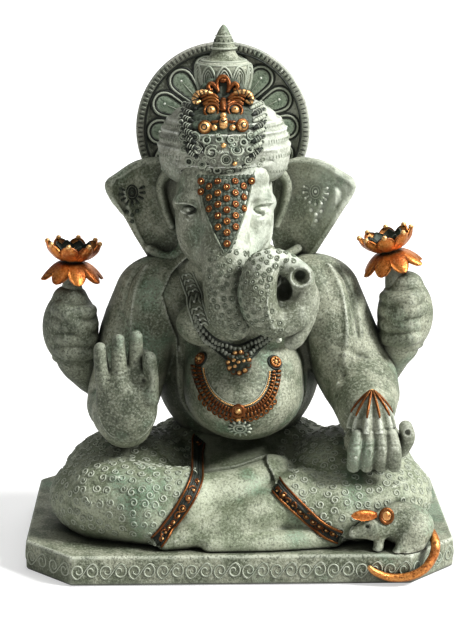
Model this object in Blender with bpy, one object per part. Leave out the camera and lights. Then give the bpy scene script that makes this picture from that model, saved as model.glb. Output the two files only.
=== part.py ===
"""Seated four-armed elephant-headed idol, cast in brass in separate pieces and joined on spigots.

Frame: metres, +Z up, the figure faces -Y, origin on the ground under the middle of the whole object.
"right" and "left" are the figure's own, so right pieces lie at -X.
"""

import math

import bmesh
import bpy
from mathutils import Matrix, Vector
from mathutils.bvhtree import BVHTree

MM = 0.001

# Castings and fits
CLEARANCE = 0.3 * MM
CAST_WALL = 4.5 * MM
SPIGOT_RADIUS = 5 * MM
SPIGOT_LENGTH = 9 * MM

# Plinth
PLINTH_WIDTH = 290 * MM
PLINTH_DEPTH = 195 * MM
PLINTH_HEIGHT = 20.5 * MM
PLINTH_CORNER = 32 * MM
PLINTH_WALL = 6 * MM
PLINTH_TOP = 4.5 * MM
PLINTH_EDGE = 1.2 * MM
BOLT_RADIUS = 3 * MM
BOSS_WALL = 5 * MM
BOLT_LENGTH = 14 * MM
BOLT_HEAD_RADIUS = 5.5 * MM
BOLT_HEAD_HEIGHT = 4 * MM

# Seat and legs, with heights above the plinth
LAP_RADII = (76 * MM, 70 * MM, 56 * MM)
LAP_SETBACK = 20 * MM
HIP_RADII = (78 * MM, 46 * MM, 42 * MM)
LEG_RADII = (51 * MM, 62 * MM, 37 * MM)
LEG_SPREAD = 79 * MM
LEG_RISE = 21 * MM
LEG_SETBACK = -26 * MM
LEG_TURN = math.radians(14)
HEM_WIDTH = 9 * MM
HEM_PROUD = 1.6 * MM

# Trunk of the body, with heights above the plinth
BELLY_RADII = (53 * MM, 55 * MM, 47 * MM)
BELLY_RISE = 98 * MM
BELLY_SETBACK = -8 * MM
CHEST_RADII = (60 * MM, 38 * MM, 44 * MM)
CHEST_RISE = 140 * MM
SHOULDER_RADIUS = 27 * MM
SHOULDER_SPREAD = 50 * MM
SHOULDER_RISE = 154 * MM

# Arms
FRONT_ARM_RADIUS = 22.5 * MM
FRONT_WRIST_RADIUS = 16 * MM
WRIST_SPREAD = 81 * MM
REAR_ARM_RADIUS = 19 * MM
REAR_WRIST_RADIUS = 17 * MM
FIST_RADII = (20.5 * MM, 19 * MM, 28 * MM)
PALM_RADII = (21 * MM, 10 * MM, 31 * MM)
FINGER_RADIUS = 4.6 * MM
HAND_RADII = (21 * MM, 17 * MM, 17 * MM)
MODAK_RADIUS = 14 * MM
MODAK_HEIGHT = 27 * MM
STEM_RADIUS = 6 * MM
STEM_LENGTH = 20 * MM
LOTUS_RADIUS = 21 * MM
LOTUS_HEIGHT = 26 * MM
LOTUS_PETALS = 7

# Head, with heights above the plinth
HEAD_OFFSET = -9.5 * MM
HEAD_RADII = (37 * MM, 38 * MM, 44 * MM)
HEAD_RISE = 222 * MM
NECK_RADII = (28 * MM, 26 * MM, 26 * MM)
CAP_RADII = (45.5 * MM, 44 * MM, 38 * MM)
CAP_RISE = 262 * MM
TRUNK_RADIUS = 16 * MM
CURL_RADIUS = 17 * MM
CURL_THICKNESS = 10.5 * MM
EAR_THICKNESS = 7 * MM
EAR_REACH = 42 * MM
EAR_HEIGHT = 66 * MM
TUSK_RADIUS = 7 * MM
DOME_RADIUS = 20.5 * MM
DOME_HEIGHT = 20 * MM
FINIAL_HEIGHT = 25 * MM
FINIAL_RADIUS = 8.5 * MM
HALO_RADIUS = 61 * MM
HALO_THICKNESS = 6 * MM
HALO_PETALS = 15
HALO_STUD_RADIUS = 3 * MM
NUT_RADIUS = 5.5 * MM
NUT_HEIGHT = 4 * MM
CREST_WIDTH = 39 * MM
CREST_HEIGHT = 38 * MM
ORNAMENT_PROUD = 3 * MM
BEAD_RADIUS = 2.3 * MM
BEAD_PITCH = 6.2 * MM

# Jewellery on the body
NECKLACE_WIDTH = 5 * MM
CHAIN_WIDTH = 7 * MM
CHAIN_RADIUS = 25 * MM
BOSS_RADIUS = 4.8 * MM
MEDALLION_RADIUS = 8 * MM
PENDANT_RADIUS = 8.5 * MM
BRACELET_RADIUS = 2.2 * MM

# Mouse
MOUSE_RADII = (20 * MM, 15 * MM, 15 * MM)
MOUSE_MARGIN = 36 * MM
MOUSE_EAR_RADIUS = 4.5 * MM
TAIL_RADIUS = 3 * MM
TAIL_REACH = 25 * MM

# Colours, as red, green, blue, with roughness and metallic
PATINA = ("green_patina", (0.34, 0.40, 0.33), 0.75, 0.2)
COPPER = ("copper_wash", (0.70, 0.30, 0.09), 0.35, 0.9)
STEEL = ("bright_steel", (0.62, 0.62, 0.60), 0.35, 1.0)

DECK = PLINTH_HEIGHT
TAIL_OVERHANG = 2 * TAIL_RADIUS + CLEARANCE
FRAME_SHIFT = TAIL_OVERHANG / 2

# Bars are turned a little about their own axis, so that their corners miss those of the forms they join
BAR_TWIST = math.radians(5.3)
SLIVER = 0.01 * MM
FLAT_ANGLE = math.radians(0.3)

castings = []

# The plain closed forms that each object was joined from, by its name. Later pieces are trimmed to these, because a
# plain form can be pushed out evenly and a trimmed one folds at its sharp rim
forms = {}


# ---------------------------------------------------------------- shaping helpers


def clear_scene():
    for obj in list(bpy.data.objects):
        bpy.data.objects.remove(obj)


def material(finish):
    name, colour, roughness, metallic = finish
    found = bpy.data.materials.get(name)
    if found:
        return found
    made = bpy.data.materials.new(name)
    made.use_nodes = True
    shader = made.node_tree.nodes["Principled BSDF"]
    shader.inputs["Base Color"].default_value = (*colour, 1)
    shader.inputs["Roughness"].default_value = roughness
    shader.inputs["Metallic"].default_value = metallic
    return made


def solid(name, mesh_builder, finish=PATINA):
    """A named object from a bmesh that closes one body."""
    bmesh.ops.remove_doubles(mesh_builder, verts=mesh_builder.verts, dist=1e-6)
    bmesh.ops.recalc_face_normals(mesh_builder, faces=mesh_builder.faces)
    bmesh.ops.triangulate(mesh_builder, faces=mesh_builder.faces)
    mesh = bpy.data.meshes.new(name)
    mesh_builder.to_mesh(mesh)
    mesh_builder.free()
    mesh.materials.append(material(finish))
    obj = bpy.data.objects.new(name, mesh)
    bpy.context.scene.collection.objects.link(obj)
    forms[obj.name] = [mesh.copy()]
    return obj


def ellipsoid(name, centre, radii, turn=0.0, segments=16, rings=9, finish=PATINA):
    """An egg of three radii, turned about +Z."""
    shape = bmesh.new()
    bmesh.ops.create_uvsphere(shape, u_segments=segments, v_segments=rings, radius=1)
    place = Matrix.Translation(centre) @ Matrix.Rotation(turn, 4, "Z") @ Matrix.Diagonal((*radii, 1))
    bmesh.ops.transform(shape, matrix=place, verts=shape.verts)
    return solid(name, shape, finish)


def swept(name, path, radii, sides=10, finish=PATINA, squash=1.0):
    """A limb: rings of changing radius along a path, with domed ends. squash thins it towards +Y."""
    points = [Vector(p) for p in path]
    shape = bmesh.new()
    rings = []
    side = None
    stations = end_stations(points, radii)
    for index, (centre, radius) in enumerate(stations):
        before = stations[max(index - 1, 0)][0]
        after = stations[min(index + 1, len(stations) - 1)][0]
        along = (after - before).normalized()
        if side is None:
            side = along.orthogonal().normalized()
        side = (side - side.dot(along) * along).normalized()
        other = along.cross(side)
        ring = []
        for step in range(sides):
            angle = math.tau * step / sides
            offset = radius * (math.cos(angle) * side + math.sin(angle) * other)
            offset.y *= squash
            ring.append(shape.verts.new(centre + offset))
        rings.append(ring)
    for first, second in zip(rings, rings[1:]):
        for step in range(sides):
            after = (step + 1) % sides
            shape.faces.new((first[step], first[after], second[after], second[step]))
    shape.faces.new(rings[0][::-1])
    shape.faces.new(rings[-1])
    return solid(name, shape, finish)


def end_stations(points, radii):
    """The path's own stations, with a smaller ring past each end that rounds it off."""
    start = (points[0] - points[1]).normalized()
    finish = (points[-1] - points[-2]).normalized()
    dome = ((0.74, 0.68),)
    head = [(points[0] + start * radii[0] * rise, radii[0] * width) for width, rise in reversed(dome)]
    tail = [(points[-1] + finish * radii[-1] * rise, radii[-1] * width) for width, rise in dome]
    return head + list(zip(points, radii)) + tail


def prism(name, outline, low, high, axis="Y", finish=PATINA):
    """An outline given as (x, z) pairs and extruded along Y, or as (x, y) pairs along Z."""
    shape = bmesh.new()
    make = (lambda a, b, c: (a, c, b)) if axis == "Y" else (lambda a, b, c: (a, b, c))
    near = [shape.verts.new(make(a, b, low)) for a, b in outline]
    far = [shape.verts.new(make(a, b, high)) for a, b in outline]
    count = len(outline)
    for step in range(count):
        after = (step + 1) % count
        shape.faces.new((near[step], near[after], far[after], far[step]))
    shape.faces.new(near[::-1])
    shape.faces.new(far)
    return solid(name, shape, finish)


def turned(name, profile, centre, lean=(0, 0), steps=20, finish=PATINA):
    """A (radius, height) profile spun about +Z, then leant by angles about X and Y."""
    shape = bmesh.new()
    rings = []
    for radius, height in profile:
        if radius < 1e-6:
            rings.append([shape.verts.new((0, 0, height))])
            continue
        turns = [math.tau * step / steps for step in range(steps)]
        rings.append([shape.verts.new((radius * math.cos(t), radius * math.sin(t), height)) for t in turns])
    for lower, upper in zip(rings, rings[1:]):
        for step in range(steps):
            after = (step + 1) % steps
            corners = [lower[step % len(lower)], lower[after % len(lower)]]
            corners += [upper[after % len(upper)], upper[step % len(upper)]]
            kept = [c for i, c in enumerate(corners) if c not in corners[:i]]
            if len(kept) > 2:
                shape.faces.new(kept)
    for ring in (rings[0], rings[-1]):
        if len(ring) > 2:
            shape.faces.new(ring)
    place = Matrix.Translation(centre) @ Matrix.Rotation(lean[0], 4, "X") @ Matrix.Rotation(lean[1], 4, "Y")
    bmesh.ops.transform(shape, matrix=place, verts=shape.verts)
    return solid(name, shape, finish)


def cylinder(name, start, end, radius, sides=12, finish=PATINA):
    """A plain round bar between two points."""
    start, end = Vector(start), Vector(end)
    shape = bmesh.new()
    length = (end - start).length
    bmesh.ops.create_cone(
        shape, cap_ends=True, segments=sides, radius1=radius, radius2=radius, depth=length
    )
    turn = (end - start).to_track_quat("Z", "Y").to_matrix().to_4x4()
    turn = turn @ Matrix.Rotation(BAR_TWIST, 4, "Z")
    bmesh.ops.transform(shape, matrix=Matrix.Translation((start + end) / 2) @ turn, verts=shape.verts)
    return solid(name, shape, finish)


# ---------------------------------------------------------------- joining helpers


def evaluated(obj):
    bpy.context.view_layer.update()
    graph = bpy.context.evaluated_depsgraph_get()
    return bpy.data.meshes.new_from_object(obj.evaluated_get(graph))


def drop_slivers(mesh):
    """Merges corners that a cut left a few microns apart, unless that would open the mesh."""
    shape = bmesh.new()
    shape.from_mesh(mesh)
    bmesh.ops.remove_doubles(shape, verts=shape.verts, dist=SLIVER)
    bmesh.ops.dissolve_degenerate(shape, edges=shape.edges, dist=SLIVER)
    if all(edge.is_manifold for edge in shape.edges):
        shape.to_mesh(mesh)
    shape.free()


def join_flat_faces(mesh):
    """Makes one face of neighbours that lie in one plane, unless that would open the mesh."""
    shape = bmesh.new()
    shape.from_mesh(mesh)
    bmesh.ops.dissolve_limit(shape, angle_limit=FLAT_ANGLE, verts=shape.verts, edges=shape.edges)
    bmesh.ops.dissolve_degenerate(shape, edges=shape.edges, dist=SLIVER)
    bmesh.ops.triangulate(shape, faces=shape.faces)
    if all(edge.is_manifold for edge in shape.edges):
        shape.to_mesh(mesh)
    shape.free()


def boolean(target, tool, operation):
    """Joins, cuts or keeps the common part of target and tool, and uses the tool up."""
    modifier = target.modifiers.new("shape", "BOOLEAN")
    modifier.operation = operation
    modifier.object = tool
    result = evaluated(target)
    target.modifiers.clear()
    drop_slivers(result)
    if not result.polygons:
        raise ValueError(f"nothing is left of {target.name} after {operation} with {tool.name}")
    result.name = target.name
    target.data = result
    bpy.data.objects.remove(tool)
    return target


def unite(target, *others):
    for other in others:
        forms[target.name] += forms.pop(other.name)
        boolean(target, other, "UNION")
    return target


def cut(target, *tools):
    for tool in tools:
        boolean(target, tool, "DIFFERENCE")
    return target


def level_off(obj, height):
    """Cuts away everything below this height, from the object and from the forms it was joined from."""
    plain = []
    for mesh in forms[obj.name]:
        form = placed("form", mesh)
        if box_of(form)[1].z > height:
            plain.append(cut(form, floor_cutter(height)).data)
        bpy.data.objects.remove(form)
    forms[obj.name] = plain
    return cut(obj, floor_cutter(height))


def placed(name, mesh):
    obj = bpy.data.objects.new(name, mesh)
    bpy.context.scene.collection.objects.link(obj)
    return obj


def pushed_out(mesh, gap):
    """An object whose surface lies this far outside a plain closed form."""
    shape = bmesh.new()
    shape.from_mesh(mesh)
    bmesh.ops.triangulate(shape, faces=shape.faces)
    shape.normal_update()
    normals = [vertex.normal.copy() for vertex in shape.verts]
    for vertex, normal in zip(shape.verts, normals):
        vertex.co += normal * gap
    copy = bpy.data.meshes.new("seat")
    shape.to_mesh(copy)
    shape.free()
    return placed("seat", copy)


def seats_for(obj, piece, gap=CLEARANCE):
    """Cutters that make room in a piece for each form of obj that comes near it."""
    for mesh in forms[obj.name]:
        seat = pushed_out(mesh, gap)
        if near(seat, piece):
            yield seat
        else:
            bpy.data.objects.remove(seat)


def box_of(obj):
    corners = [obj.matrix_world @ vertex.co for vertex in obj.data.vertices]
    low = Vector(min(c[axis] for c in corners) for axis in range(3))
    high = Vector(max(c[axis] for c in corners) for axis in range(3))
    return low, high


def near(one, other):
    (low_a, high_a), (low_b, high_b) = box_of(one), box_of(other)
    return all(low_a[i] - CLEARANCE < high_b[i] and low_b[i] - CLEARANCE < high_a[i] for i in range(3))


def drop_offcuts(obj):
    """Trimming can leave a crumb on the far side of a neighbour, so only the largest body stays."""
    shape = bmesh.new()
    shape.from_mesh(obj.data)
    bodies, seen = [], set()
    for face in shape.faces:
        if face in seen:
            continue
        body, waiting = [], [face]
        seen.add(face)
        while waiting:
            current = waiting.pop()
            body.append(current)
            for edge in current.edges:
                fresh = [linked for linked in edge.link_faces if linked not in seen]
                seen.update(fresh)
                waiting.extend(fresh)
        bodies.append(body)
    bodies.sort(key=lambda faces: sum(face.calc_area() for face in faces))
    for body in bodies[:-1]:
        bmesh.ops.delete(shape, geom=body, context="FACES")
    loose = [vertex for vertex in shape.verts if not vertex.link_faces]
    bmesh.ops.delete(shape, geom=loose, context="VERTS")
    shape.to_mesh(obj.data)
    shape.free()


def cast(obj, hosts=()):
    """Adds a piece to the idol: it is trimmed where it meets the pieces made before it.

    Hosts are left out: they are what an ornament was shaped on.
    """
    for earlier in castings:
        if earlier not in hosts:
            cut(obj, *seats_for(earlier, obj))
    drop_offcuts(obj)
    castings.append(obj)
    return obj


def surface_point(host, start, direction):
    """Where a line from start first meets the host."""
    shape = bmesh.new()
    shape.from_mesh(host.data)
    hit = BVHTree.FromBMesh(shape).ray_cast(Vector(start), Vector(direction).normalized())[0]
    shape.free()
    return hit


def crosses(one, other):
    """Whether the surfaces of two objects meet."""
    trees = []
    for obj in (one, other):
        shape = bmesh.new()
        shape.from_mesh(obj.data)
        trees.append(BVHTree.FromBMesh(shape))
        shape.free()
    return bool(trees[0].overlap(trees[1]))


def give_way(start, end, radius, *fitted):
    """Bores a clearance hole for a pin through each casting that it crosses, other than those it is fitted to."""
    for earlier in castings:
        if earlier in fitted:
            continue
        pin = cylinder("passage", start, end, radius)
        if crosses(pin, earlier):
            passage = cylinder("passage", start, end, radius + CLEARANCE)
            cut(earlier, passage)
            drop_offcuts(earlier)
        forms.pop(pin.name, None)
        bpy.data.objects.remove(pin)


def spigot(piece, host, start, direction):
    """A short round pin that leaves the piece where a line from start inside it meets the host.

    Its socket in the host has the clearance all round.
    """
    direction = Vector(direction).normalized()
    root = surface_point(host, start, direction)
    tip = root + direction * SPIGOT_LENGTH
    heel = root - direction * SPIGOT_LENGTH
    socket_tip = tip + direction * CLEARANCE
    cut(host, cylinder("socket", heel, socket_tip, SPIGOT_RADIUS + CLEARANCE))
    drop_offcuts(host)
    give_way(heel, tip, SPIGOT_RADIUS, piece, host)
    unite(piece, cylinder("pin", heel, tip, SPIGOT_RADIUS))


def veneer(name, host, outline, proud, finish=PATINA):
    """A thin plate that lies on the front of a host, with the outline cut straight through along Y."""
    low, high = box_of(host)
    stencil = prism("stencil", outline, low.y - 2 * proud, (low.y + high.y) / 2, finish=finish)
    first, *others = seats_for(host, stencil, CLEARANCE + proud)
    for other in others:
        boolean(first, other, "UNION")
    boolean(stencil, first, "INTERSECT")
    cut(stencil, *seats_for(host, stencil))
    drop_offcuts(stencil)
    forms[name] = [stencil.data.copy()]
    stencil.name = name
    stencil.data.name = name
    return stencil


def arc(centre, radius, start, end, steps):
    """(x, z) points of a round stretch, with the angles in degrees from +X towards +Z."""
    turns = [math.radians(start + (end - start) * i / steps) for i in range(steps + 1)]
    return [(centre[0] + radius * math.cos(t), centre[1] + radius * math.sin(t)) for t in turns]


def band(points, width):
    """The outline of a ribbon that follows points in the (x, z) plane."""
    left, right = [], []
    for index, point in enumerate(points):
        before = Vector(points[max(index - 1, 0)])
        after = Vector(points[min(index + 1, len(points) - 1)])
        along = (after - before).normalized()
        across = Vector((-along.y, along.x)) * width / 2
        left.append(tuple(Vector(point) + across))
        right.append(tuple(Vector(point) - across))
    return left + right[::-1]


# ---------------------------------------------------------------- where the body lies

BELLY = Vector((1 * MM, BELLY_SETBACK, DECK + BELLY_RISE))
CHEST = Vector((-2 * MM, 8 * MM, DECK + CHEST_RISE))
HEAD = Vector((HEAD_OFFSET, -8 * MM, DECK + HEAD_RISE))
CAP = Vector((HEAD_OFFSET, 2 * MM, DECK + CAP_RISE))


def shoulder(side):
    return Vector((CHEST.x + side * SHOULDER_SPREAD, 10 * MM, DECK + SHOULDER_RISE))


def leg_centre(side):
    return Vector((side * LEG_SPREAD, LEG_SETBACK, DECK + LEG_RISE))


def belly_front(x, z):
    """The point on the belly's front at this x and z."""
    across = (x - BELLY.x) / BELLY_RADII[0]
    up = (z - BELLY.z) / BELLY_RADII[2]
    depth = BELLY_RADII[1] * math.sqrt(max(0.05, 1 - across**2 - up**2))
    return Vector((x, BELLY.y - depth, z))


# ---------------------------------------------------------------- plinth


def plinth_outline(inset=0.0):
    half_x, half_y = PLINTH_WIDTH / 2 - inset, PLINTH_DEPTH / 2 - inset
    corner = PLINTH_CORNER - inset * (2 - math.sqrt(2))
    return [
        (-half_x, -half_y + corner),
        (-half_x + corner, -half_y),
        (half_x - corner, -half_y),
        (half_x, -half_y + corner),
        (half_x, half_y - corner),
        (half_x - corner, half_y),
        (-half_x + corner, half_y),
        (-half_x, half_y - corner),
    ]


def bolt_places(side):
    """Two bolts rise into a leg."""
    centre = leg_centre(side)
    for end in (-1, 1):
        yield Vector((centre.x, centre.y + end * LEG_RADII[1] * 0.42, 0))


def make_plinth():
    plinth = prism("plinth", plinth_outline(), 0, DECK, axis="Z")
    rim = [e for e in plinth.data.edges if all(plinth.data.vertices[v].co.z > DECK / 2 for v in e.vertices)]
    shape = bmesh.new()
    shape.from_mesh(plinth.data)
    shape.edges.ensure_lookup_table()
    top = [shape.edges[e.index] for e in rim]
    bmesh.ops.bevel(shape, geom=top, offset=PLINTH_EDGE, segments=2, affect="EDGES")
    shape.to_mesh(plinth.data)
    shape.free()
    castings.append(plinth)
    forms["plinth"] = [plinth.data.copy()]
    cut(plinth, prism("hollow", plinth_outline(PLINTH_WALL), -DECK, DECK - PLINTH_TOP, axis="Z"))
    for place in (*bolt_places(-1), *bolt_places(1)):
        hole_top = place + Vector((0, 0, 2 * DECK))
        cut(plinth, cylinder("bolt_hole", place, hole_top, BOLT_RADIUS + CLEARANCE))


def make_bolts(*legs):
    """Hexagon-head bolts that pull the legs down on the plinth, each into a blind hole in a boss."""
    for number, place in enumerate((*bolt_places(-1), *bolt_places(1)), start=1):
        under_deck = place + Vector((0, 0, DECK - PLINTH_TOP - CLEARANCE))
        head_low = under_deck - Vector((0, 0, BOLT_HEAD_HEIGHT))
        tip = under_deck + Vector((0, 0, BOLT_LENGTH))
        bolt = cylinder(f"plinth_bolt_{number}", head_low, under_deck, BOLT_HEAD_RADIUS, 6, STEEL)
        unite(bolt, cylinder("shank", head_low + Vector((0, 0, MM)), tip, BOLT_RADIUS, finish=STEEL))
        give_way(head_low, tip, BOLT_RADIUS, *legs)
        castings.append(bolt)


# ---------------------------------------------------------------- body


def torso_mass(shrink=0.0):
    """Belly, chest, back and shoulders in one form, or the same form with each radius shrunk."""
    belly = ellipsoid("torso", BELLY, [r - shrink for r in BELLY_RADII])
    chest = ellipsoid("chest", CHEST, [r - shrink for r in CHEST_RADII])
    back_radii = (BELLY_RADII[0] * 1.04, CHEST_RADII[1], CHEST_RADII[2] * 1.6)
    back_centre = ((BELLY.x + CHEST.x) / 2, 16 * MM, (BELLY.z + CHEST.z) / 2 - 12 * MM)
    back = ellipsoid("back", back_centre, [r - shrink for r in back_radii])
    unite(belly, chest, back)
    if not shrink:
        for side in (-1, 1):
            unite(belly, ellipsoid("shoulder", shoulder(side), [SHOULDER_RADIUS] * 3, segments=12, rings=7))
    return belly


def floor_cutter(height):
    """Everything below this height."""
    wide = PLINTH_WIDTH
    outline = [(-wide, -wide), (wide, -wide), (wide, wide), (-wide, wide)]
    return prism("below", outline, -wide, height, axis="Z")


def make_torso():
    waist = BELLY.z - BELLY_RADII[2] * 0.78
    torso = level_off(torso_mass(), waist)
    castings.append(torso)
    return torso, waist


def hollow_torso(torso, waist):
    """The core leaves a shell that opens downwards into the seat."""
    core = cut(torso_mass(CAST_WALL), floor_cutter(waist - CAST_WALL))
    cut(torso, core)


def make_lap():
    centre = Vector((0, -LAP_SETBACK, DECK))
    lap = ellipsoid("lap", centre, LAP_RADII)
    hips = Vector((0, 22 * MM, DECK + 18 * MM))
    unite(lap, ellipsoid("hips", hips, HIP_RADII))
    level_off(lap, DECK + CLEARANCE)
    cast(lap)
    core = ellipsoid("core", centre, [r - CAST_WALL for r in LAP_RADII])
    unite(core, ellipsoid("hip_core", hips, [r - CAST_WALL for r in HIP_RADII]))
    cut(lap, core)
    drop_offcuts(lap)
    return lap


def make_leg(side):
    name = "left_leg" if side > 0 else "right_leg"
    turn = -side * LEG_TURN
    leg = ellipsoid(name, leg_centre(side), LEG_RADII, turn=turn)
    cast(level_off(leg, DECK + CLEARANCE))
    core = ellipsoid("core", leg_centre(side), [r - CAST_WALL for r in LEG_RADII], turn=turn)
    for place in bolt_places(side):
        ceiling = place + Vector((0, 0, 6 * DECK))
        cut(core, cylinder("boss", place, ceiling, BOLT_RADIUS + BOSS_WALL))
    for place in bolt_places(side):
        depth = place + Vector((0, 0, DECK - PLINTH_TOP + BOLT_LENGTH))
        unite(core, cylinder("tapping", place, depth, BOLT_RADIUS + CLEARANCE))
    cut(leg, core)
    drop_offcuts(leg)
    return leg


def make_hem_band(side, leg):
    """A narrow plate down the inner front of a leg, where the cloth ends."""
    name = "left_hem_band" if side > 0 else "right_hem_band"
    centre = leg_centre(side)
    top = (centre.x - side * LEG_RADII[0] * 1.02, centre.z + LEG_RADII[2] * 0.72)
    foot = (centre.x - side * LEG_RADII[0] * 0.32, DECK + HEM_WIDTH * 0.55)
    middle = ((top[0] + foot[0]) / 2 - side * 3 * MM, (top[1] + foot[1]) / 2 - 2.5 * MM)
    strip = veneer(name, leg, band([top, middle, foot], HEM_WIDTH), HEM_PROUD, COPPER)
    return cast(strip, [leg])


# ---------------------------------------------------------------- arms and hands


def make_front_arm(side, torso):
    name = "left_front_arm" if side > 0 else "right_front_arm"
    start = shoulder(side) + Vector((side * 8 * MM, 0, -4 * MM))
    elbow = Vector((side * 77 * MM, -2 * MM, DECK + 82 * MM))
    wrist = Vector((side * WRIST_SPREAD, -40 * MM, DECK + 76 * MM))
    middle = (start + elbow) / 2 + Vector((side * 6 * MM, 0, 4 * MM))
    radii = (FRONT_ARM_RADIUS * 1.1, FRONT_ARM_RADIUS * 1.05, FRONT_ARM_RADIUS, FRONT_WRIST_RADIUS)
    arm = cast(swept(name, (start, middle, elbow, wrist), radii))
    spigot(arm, torso, middle, start - middle)
    return arm, wrist


def finger(start, end, radius=FINGER_RADIUS):
    return swept("finger", (Vector(start), Vector(end)), (radius, radius * 0.8), sides=6)


def make_raised_hand(wrist, arm):
    """The right hand stands up with its palm to the front."""
    palm = wrist + Vector((6 * MM, -22 * MM, 24 * MM))
    hand = ellipsoid("right_raised_hand", palm, PALM_RADII)
    for across, reach in ((-0.74, 1.12), (-0.18, 1.3), (0.34, 1.36)):
        x = palm.x + PALM_RADII[0] * across
        base = (x, palm.y - 2 * MM, palm.z + PALM_RADII[2] * 0.3)
        tip = (x, palm.y + 1 * MM, palm.z + PALM_RADII[2] * reach - FINGER_RADIUS * 0.7)
        unite(hand, finger(base, tip))
    thumb_base = palm + Vector((PALM_RADII[0] * 0.72, -3 * MM, 0))
    thumb_tip = palm + Vector((PALM_RADII[0] * 0.8, -6 * MM, PALM_RADII[2] * 0.88))
    unite(hand, finger(thumb_base, thumb_tip, FINGER_RADIUS * 1.05))
    cast(hand)
    heel = palm - Vector((0, 0, PALM_RADII[2] * 0.5))
    spigot(hand, arm, heel, wrist - heel)
    return hand


def make_giving_hand(wrist, arm):
    """The left hand lies palm up with its fingers closing round the sweet."""
    palm = wrist + Vector((5 * MM, -20 * MM, -7 * MM))
    hand = ellipsoid("left_giving_hand", palm, HAND_RADII)
    for index in range(4):
        x = palm.x + HAND_RADII[0] * (-0.6 + 0.4 * index)
        base = (x, palm.y - HAND_RADII[1] * 0.62, palm.z - HAND_RADII[2] * 0.7)
        tip = (x, palm.y - HAND_RADII[1] * 0.98, palm.z + HAND_RADII[2] * 0.75)
        unite(hand, finger(base, tip, FINGER_RADIUS * 1.05))
    cast(hand)
    spigot(hand, arm, palm, wrist - palm)
    return hand, palm


def make_modak(palm):
    """The pointed sweet, which sits in the palm."""
    r, h = MODAK_RADIUS, MODAK_HEIGHT
    profile = [(r * 0.8, 0), (r, h * 0.25), (r * 0.9, h * 0.5), (r * 0.5, h * 0.8), (r * 0.12, h)]
    seat = palm + Vector((0, 0, HAND_RADII[2] * 0.45))
    return cast(turned("modak", profile, seat, steps=12, finish=COPPER))


def make_bracelet(wrist, arm):
    """A beaded ring, as a half-buried bead of solder round the left wrist."""
    shape = bmesh.new()
    centre = wrist + Vector((1 * MM, 2 * MM, 0))
    steps, sides, reach = 16, 6, FRONT_WRIST_RADIUS * 1.14
    rings = []
    for step in range(steps):
        turn = math.tau * step / steps
        outward = Vector((math.cos(turn), 0, math.sin(turn)))
        ring = []
        for corner in range(sides):
            angle = math.tau * corner / sides
            offset = outward * math.cos(angle) + Vector((0, 1, 0)) * math.sin(angle)
            ring.append(shape.verts.new(centre + outward * reach + offset * BRACELET_RADIUS))
        rings.append(ring)
    for step in range(steps):
        first, second = rings[step], rings[(step + 1) % steps]
        for corner in range(sides):
            after = (corner + 1) % sides
            shape.faces.new((first[corner], first[after], second[after], second[corner]))
    return cast(solid("left_bracelet", shape))


def make_rear_arm(side, torso):
    name = "left_rear_arm" if side > 0 else "right_rear_arm"
    start = shoulder(side) + Vector((side * 2 * MM, 22 * MM, -26 * MM))
    elbow = Vector((side * 86 * MM, 32 * MM, DECK + 94 * MM))
    wrist = Vector((side * 111 * MM, 6 * MM, DECK + (118 if side > 0 else 110) * MM))
    middle = (start + elbow) / 2 + Vector((0, 4 * MM, 2 * MM))
    radii = (REAR_ARM_RADIUS, REAR_ARM_RADIUS * 1.04, REAR_ARM_RADIUS, REAR_WRIST_RADIUS)
    arm = cast(swept(name, (start, middle, elbow, wrist), radii))
    spigot(arm, torso, middle, start - middle)
    return arm, wrist


def make_fist(side, wrist, arm):
    """A closed hand with its four finger rolls in front."""
    name = "left_rear_fist" if side > 0 else "right_rear_fist"
    centre = wrist + Vector((side * 5 * MM, -7 * MM, 21 * MM))
    fist = ellipsoid(name, centre, FIST_RADII, segments=14, rings=8)
    for index in range(4):
        z = centre.z + FIST_RADII[2] * (0.5 - 0.32 * index)
        inner = (centre.x - side * FIST_RADII[0] * 0.45, centre.y - FIST_RADII[1] * 0.82, z)
        outer = (centre.x + side * FIST_RADII[0] * 0.25, centre.y - FIST_RADII[1] * 0.86, z)
        unite(fist, finger(inner, outer, FINGER_RADIUS * 0.95))
    cast(fist)
    spigot(fist, arm, centre, wrist - centre)
    return fist, centre


def make_lotus(side, centre, fist):
    """A stem that stands in the fist, and the open flower on it."""
    word = "left" if side > 0 else "right"
    lean = math.radians(-14 if side > 0 else 3)
    up = Vector((math.sin(lean), 0, math.cos(lean)))
    grip = centre + up * FIST_RADII[2] * 0.8
    top = grip + up * STEM_LENGTH
    radii = (STEM_RADIUS * 1.25, STEM_RADIUS * 0.9, STEM_RADIUS * 1.05)
    stem = cast(swept(f"{word}_lotus_stem", (grip, (grip + top) / 2, top), radii))
    spigot(stem, fist, (grip + top) / 2, -up)
    flower = lotus_flower(f"{word}_lotus", top, lean)
    cast(flower)
    spigot(flower, stem, top + up * LOTUS_HEIGHT / 3, -up)
    return flower


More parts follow.
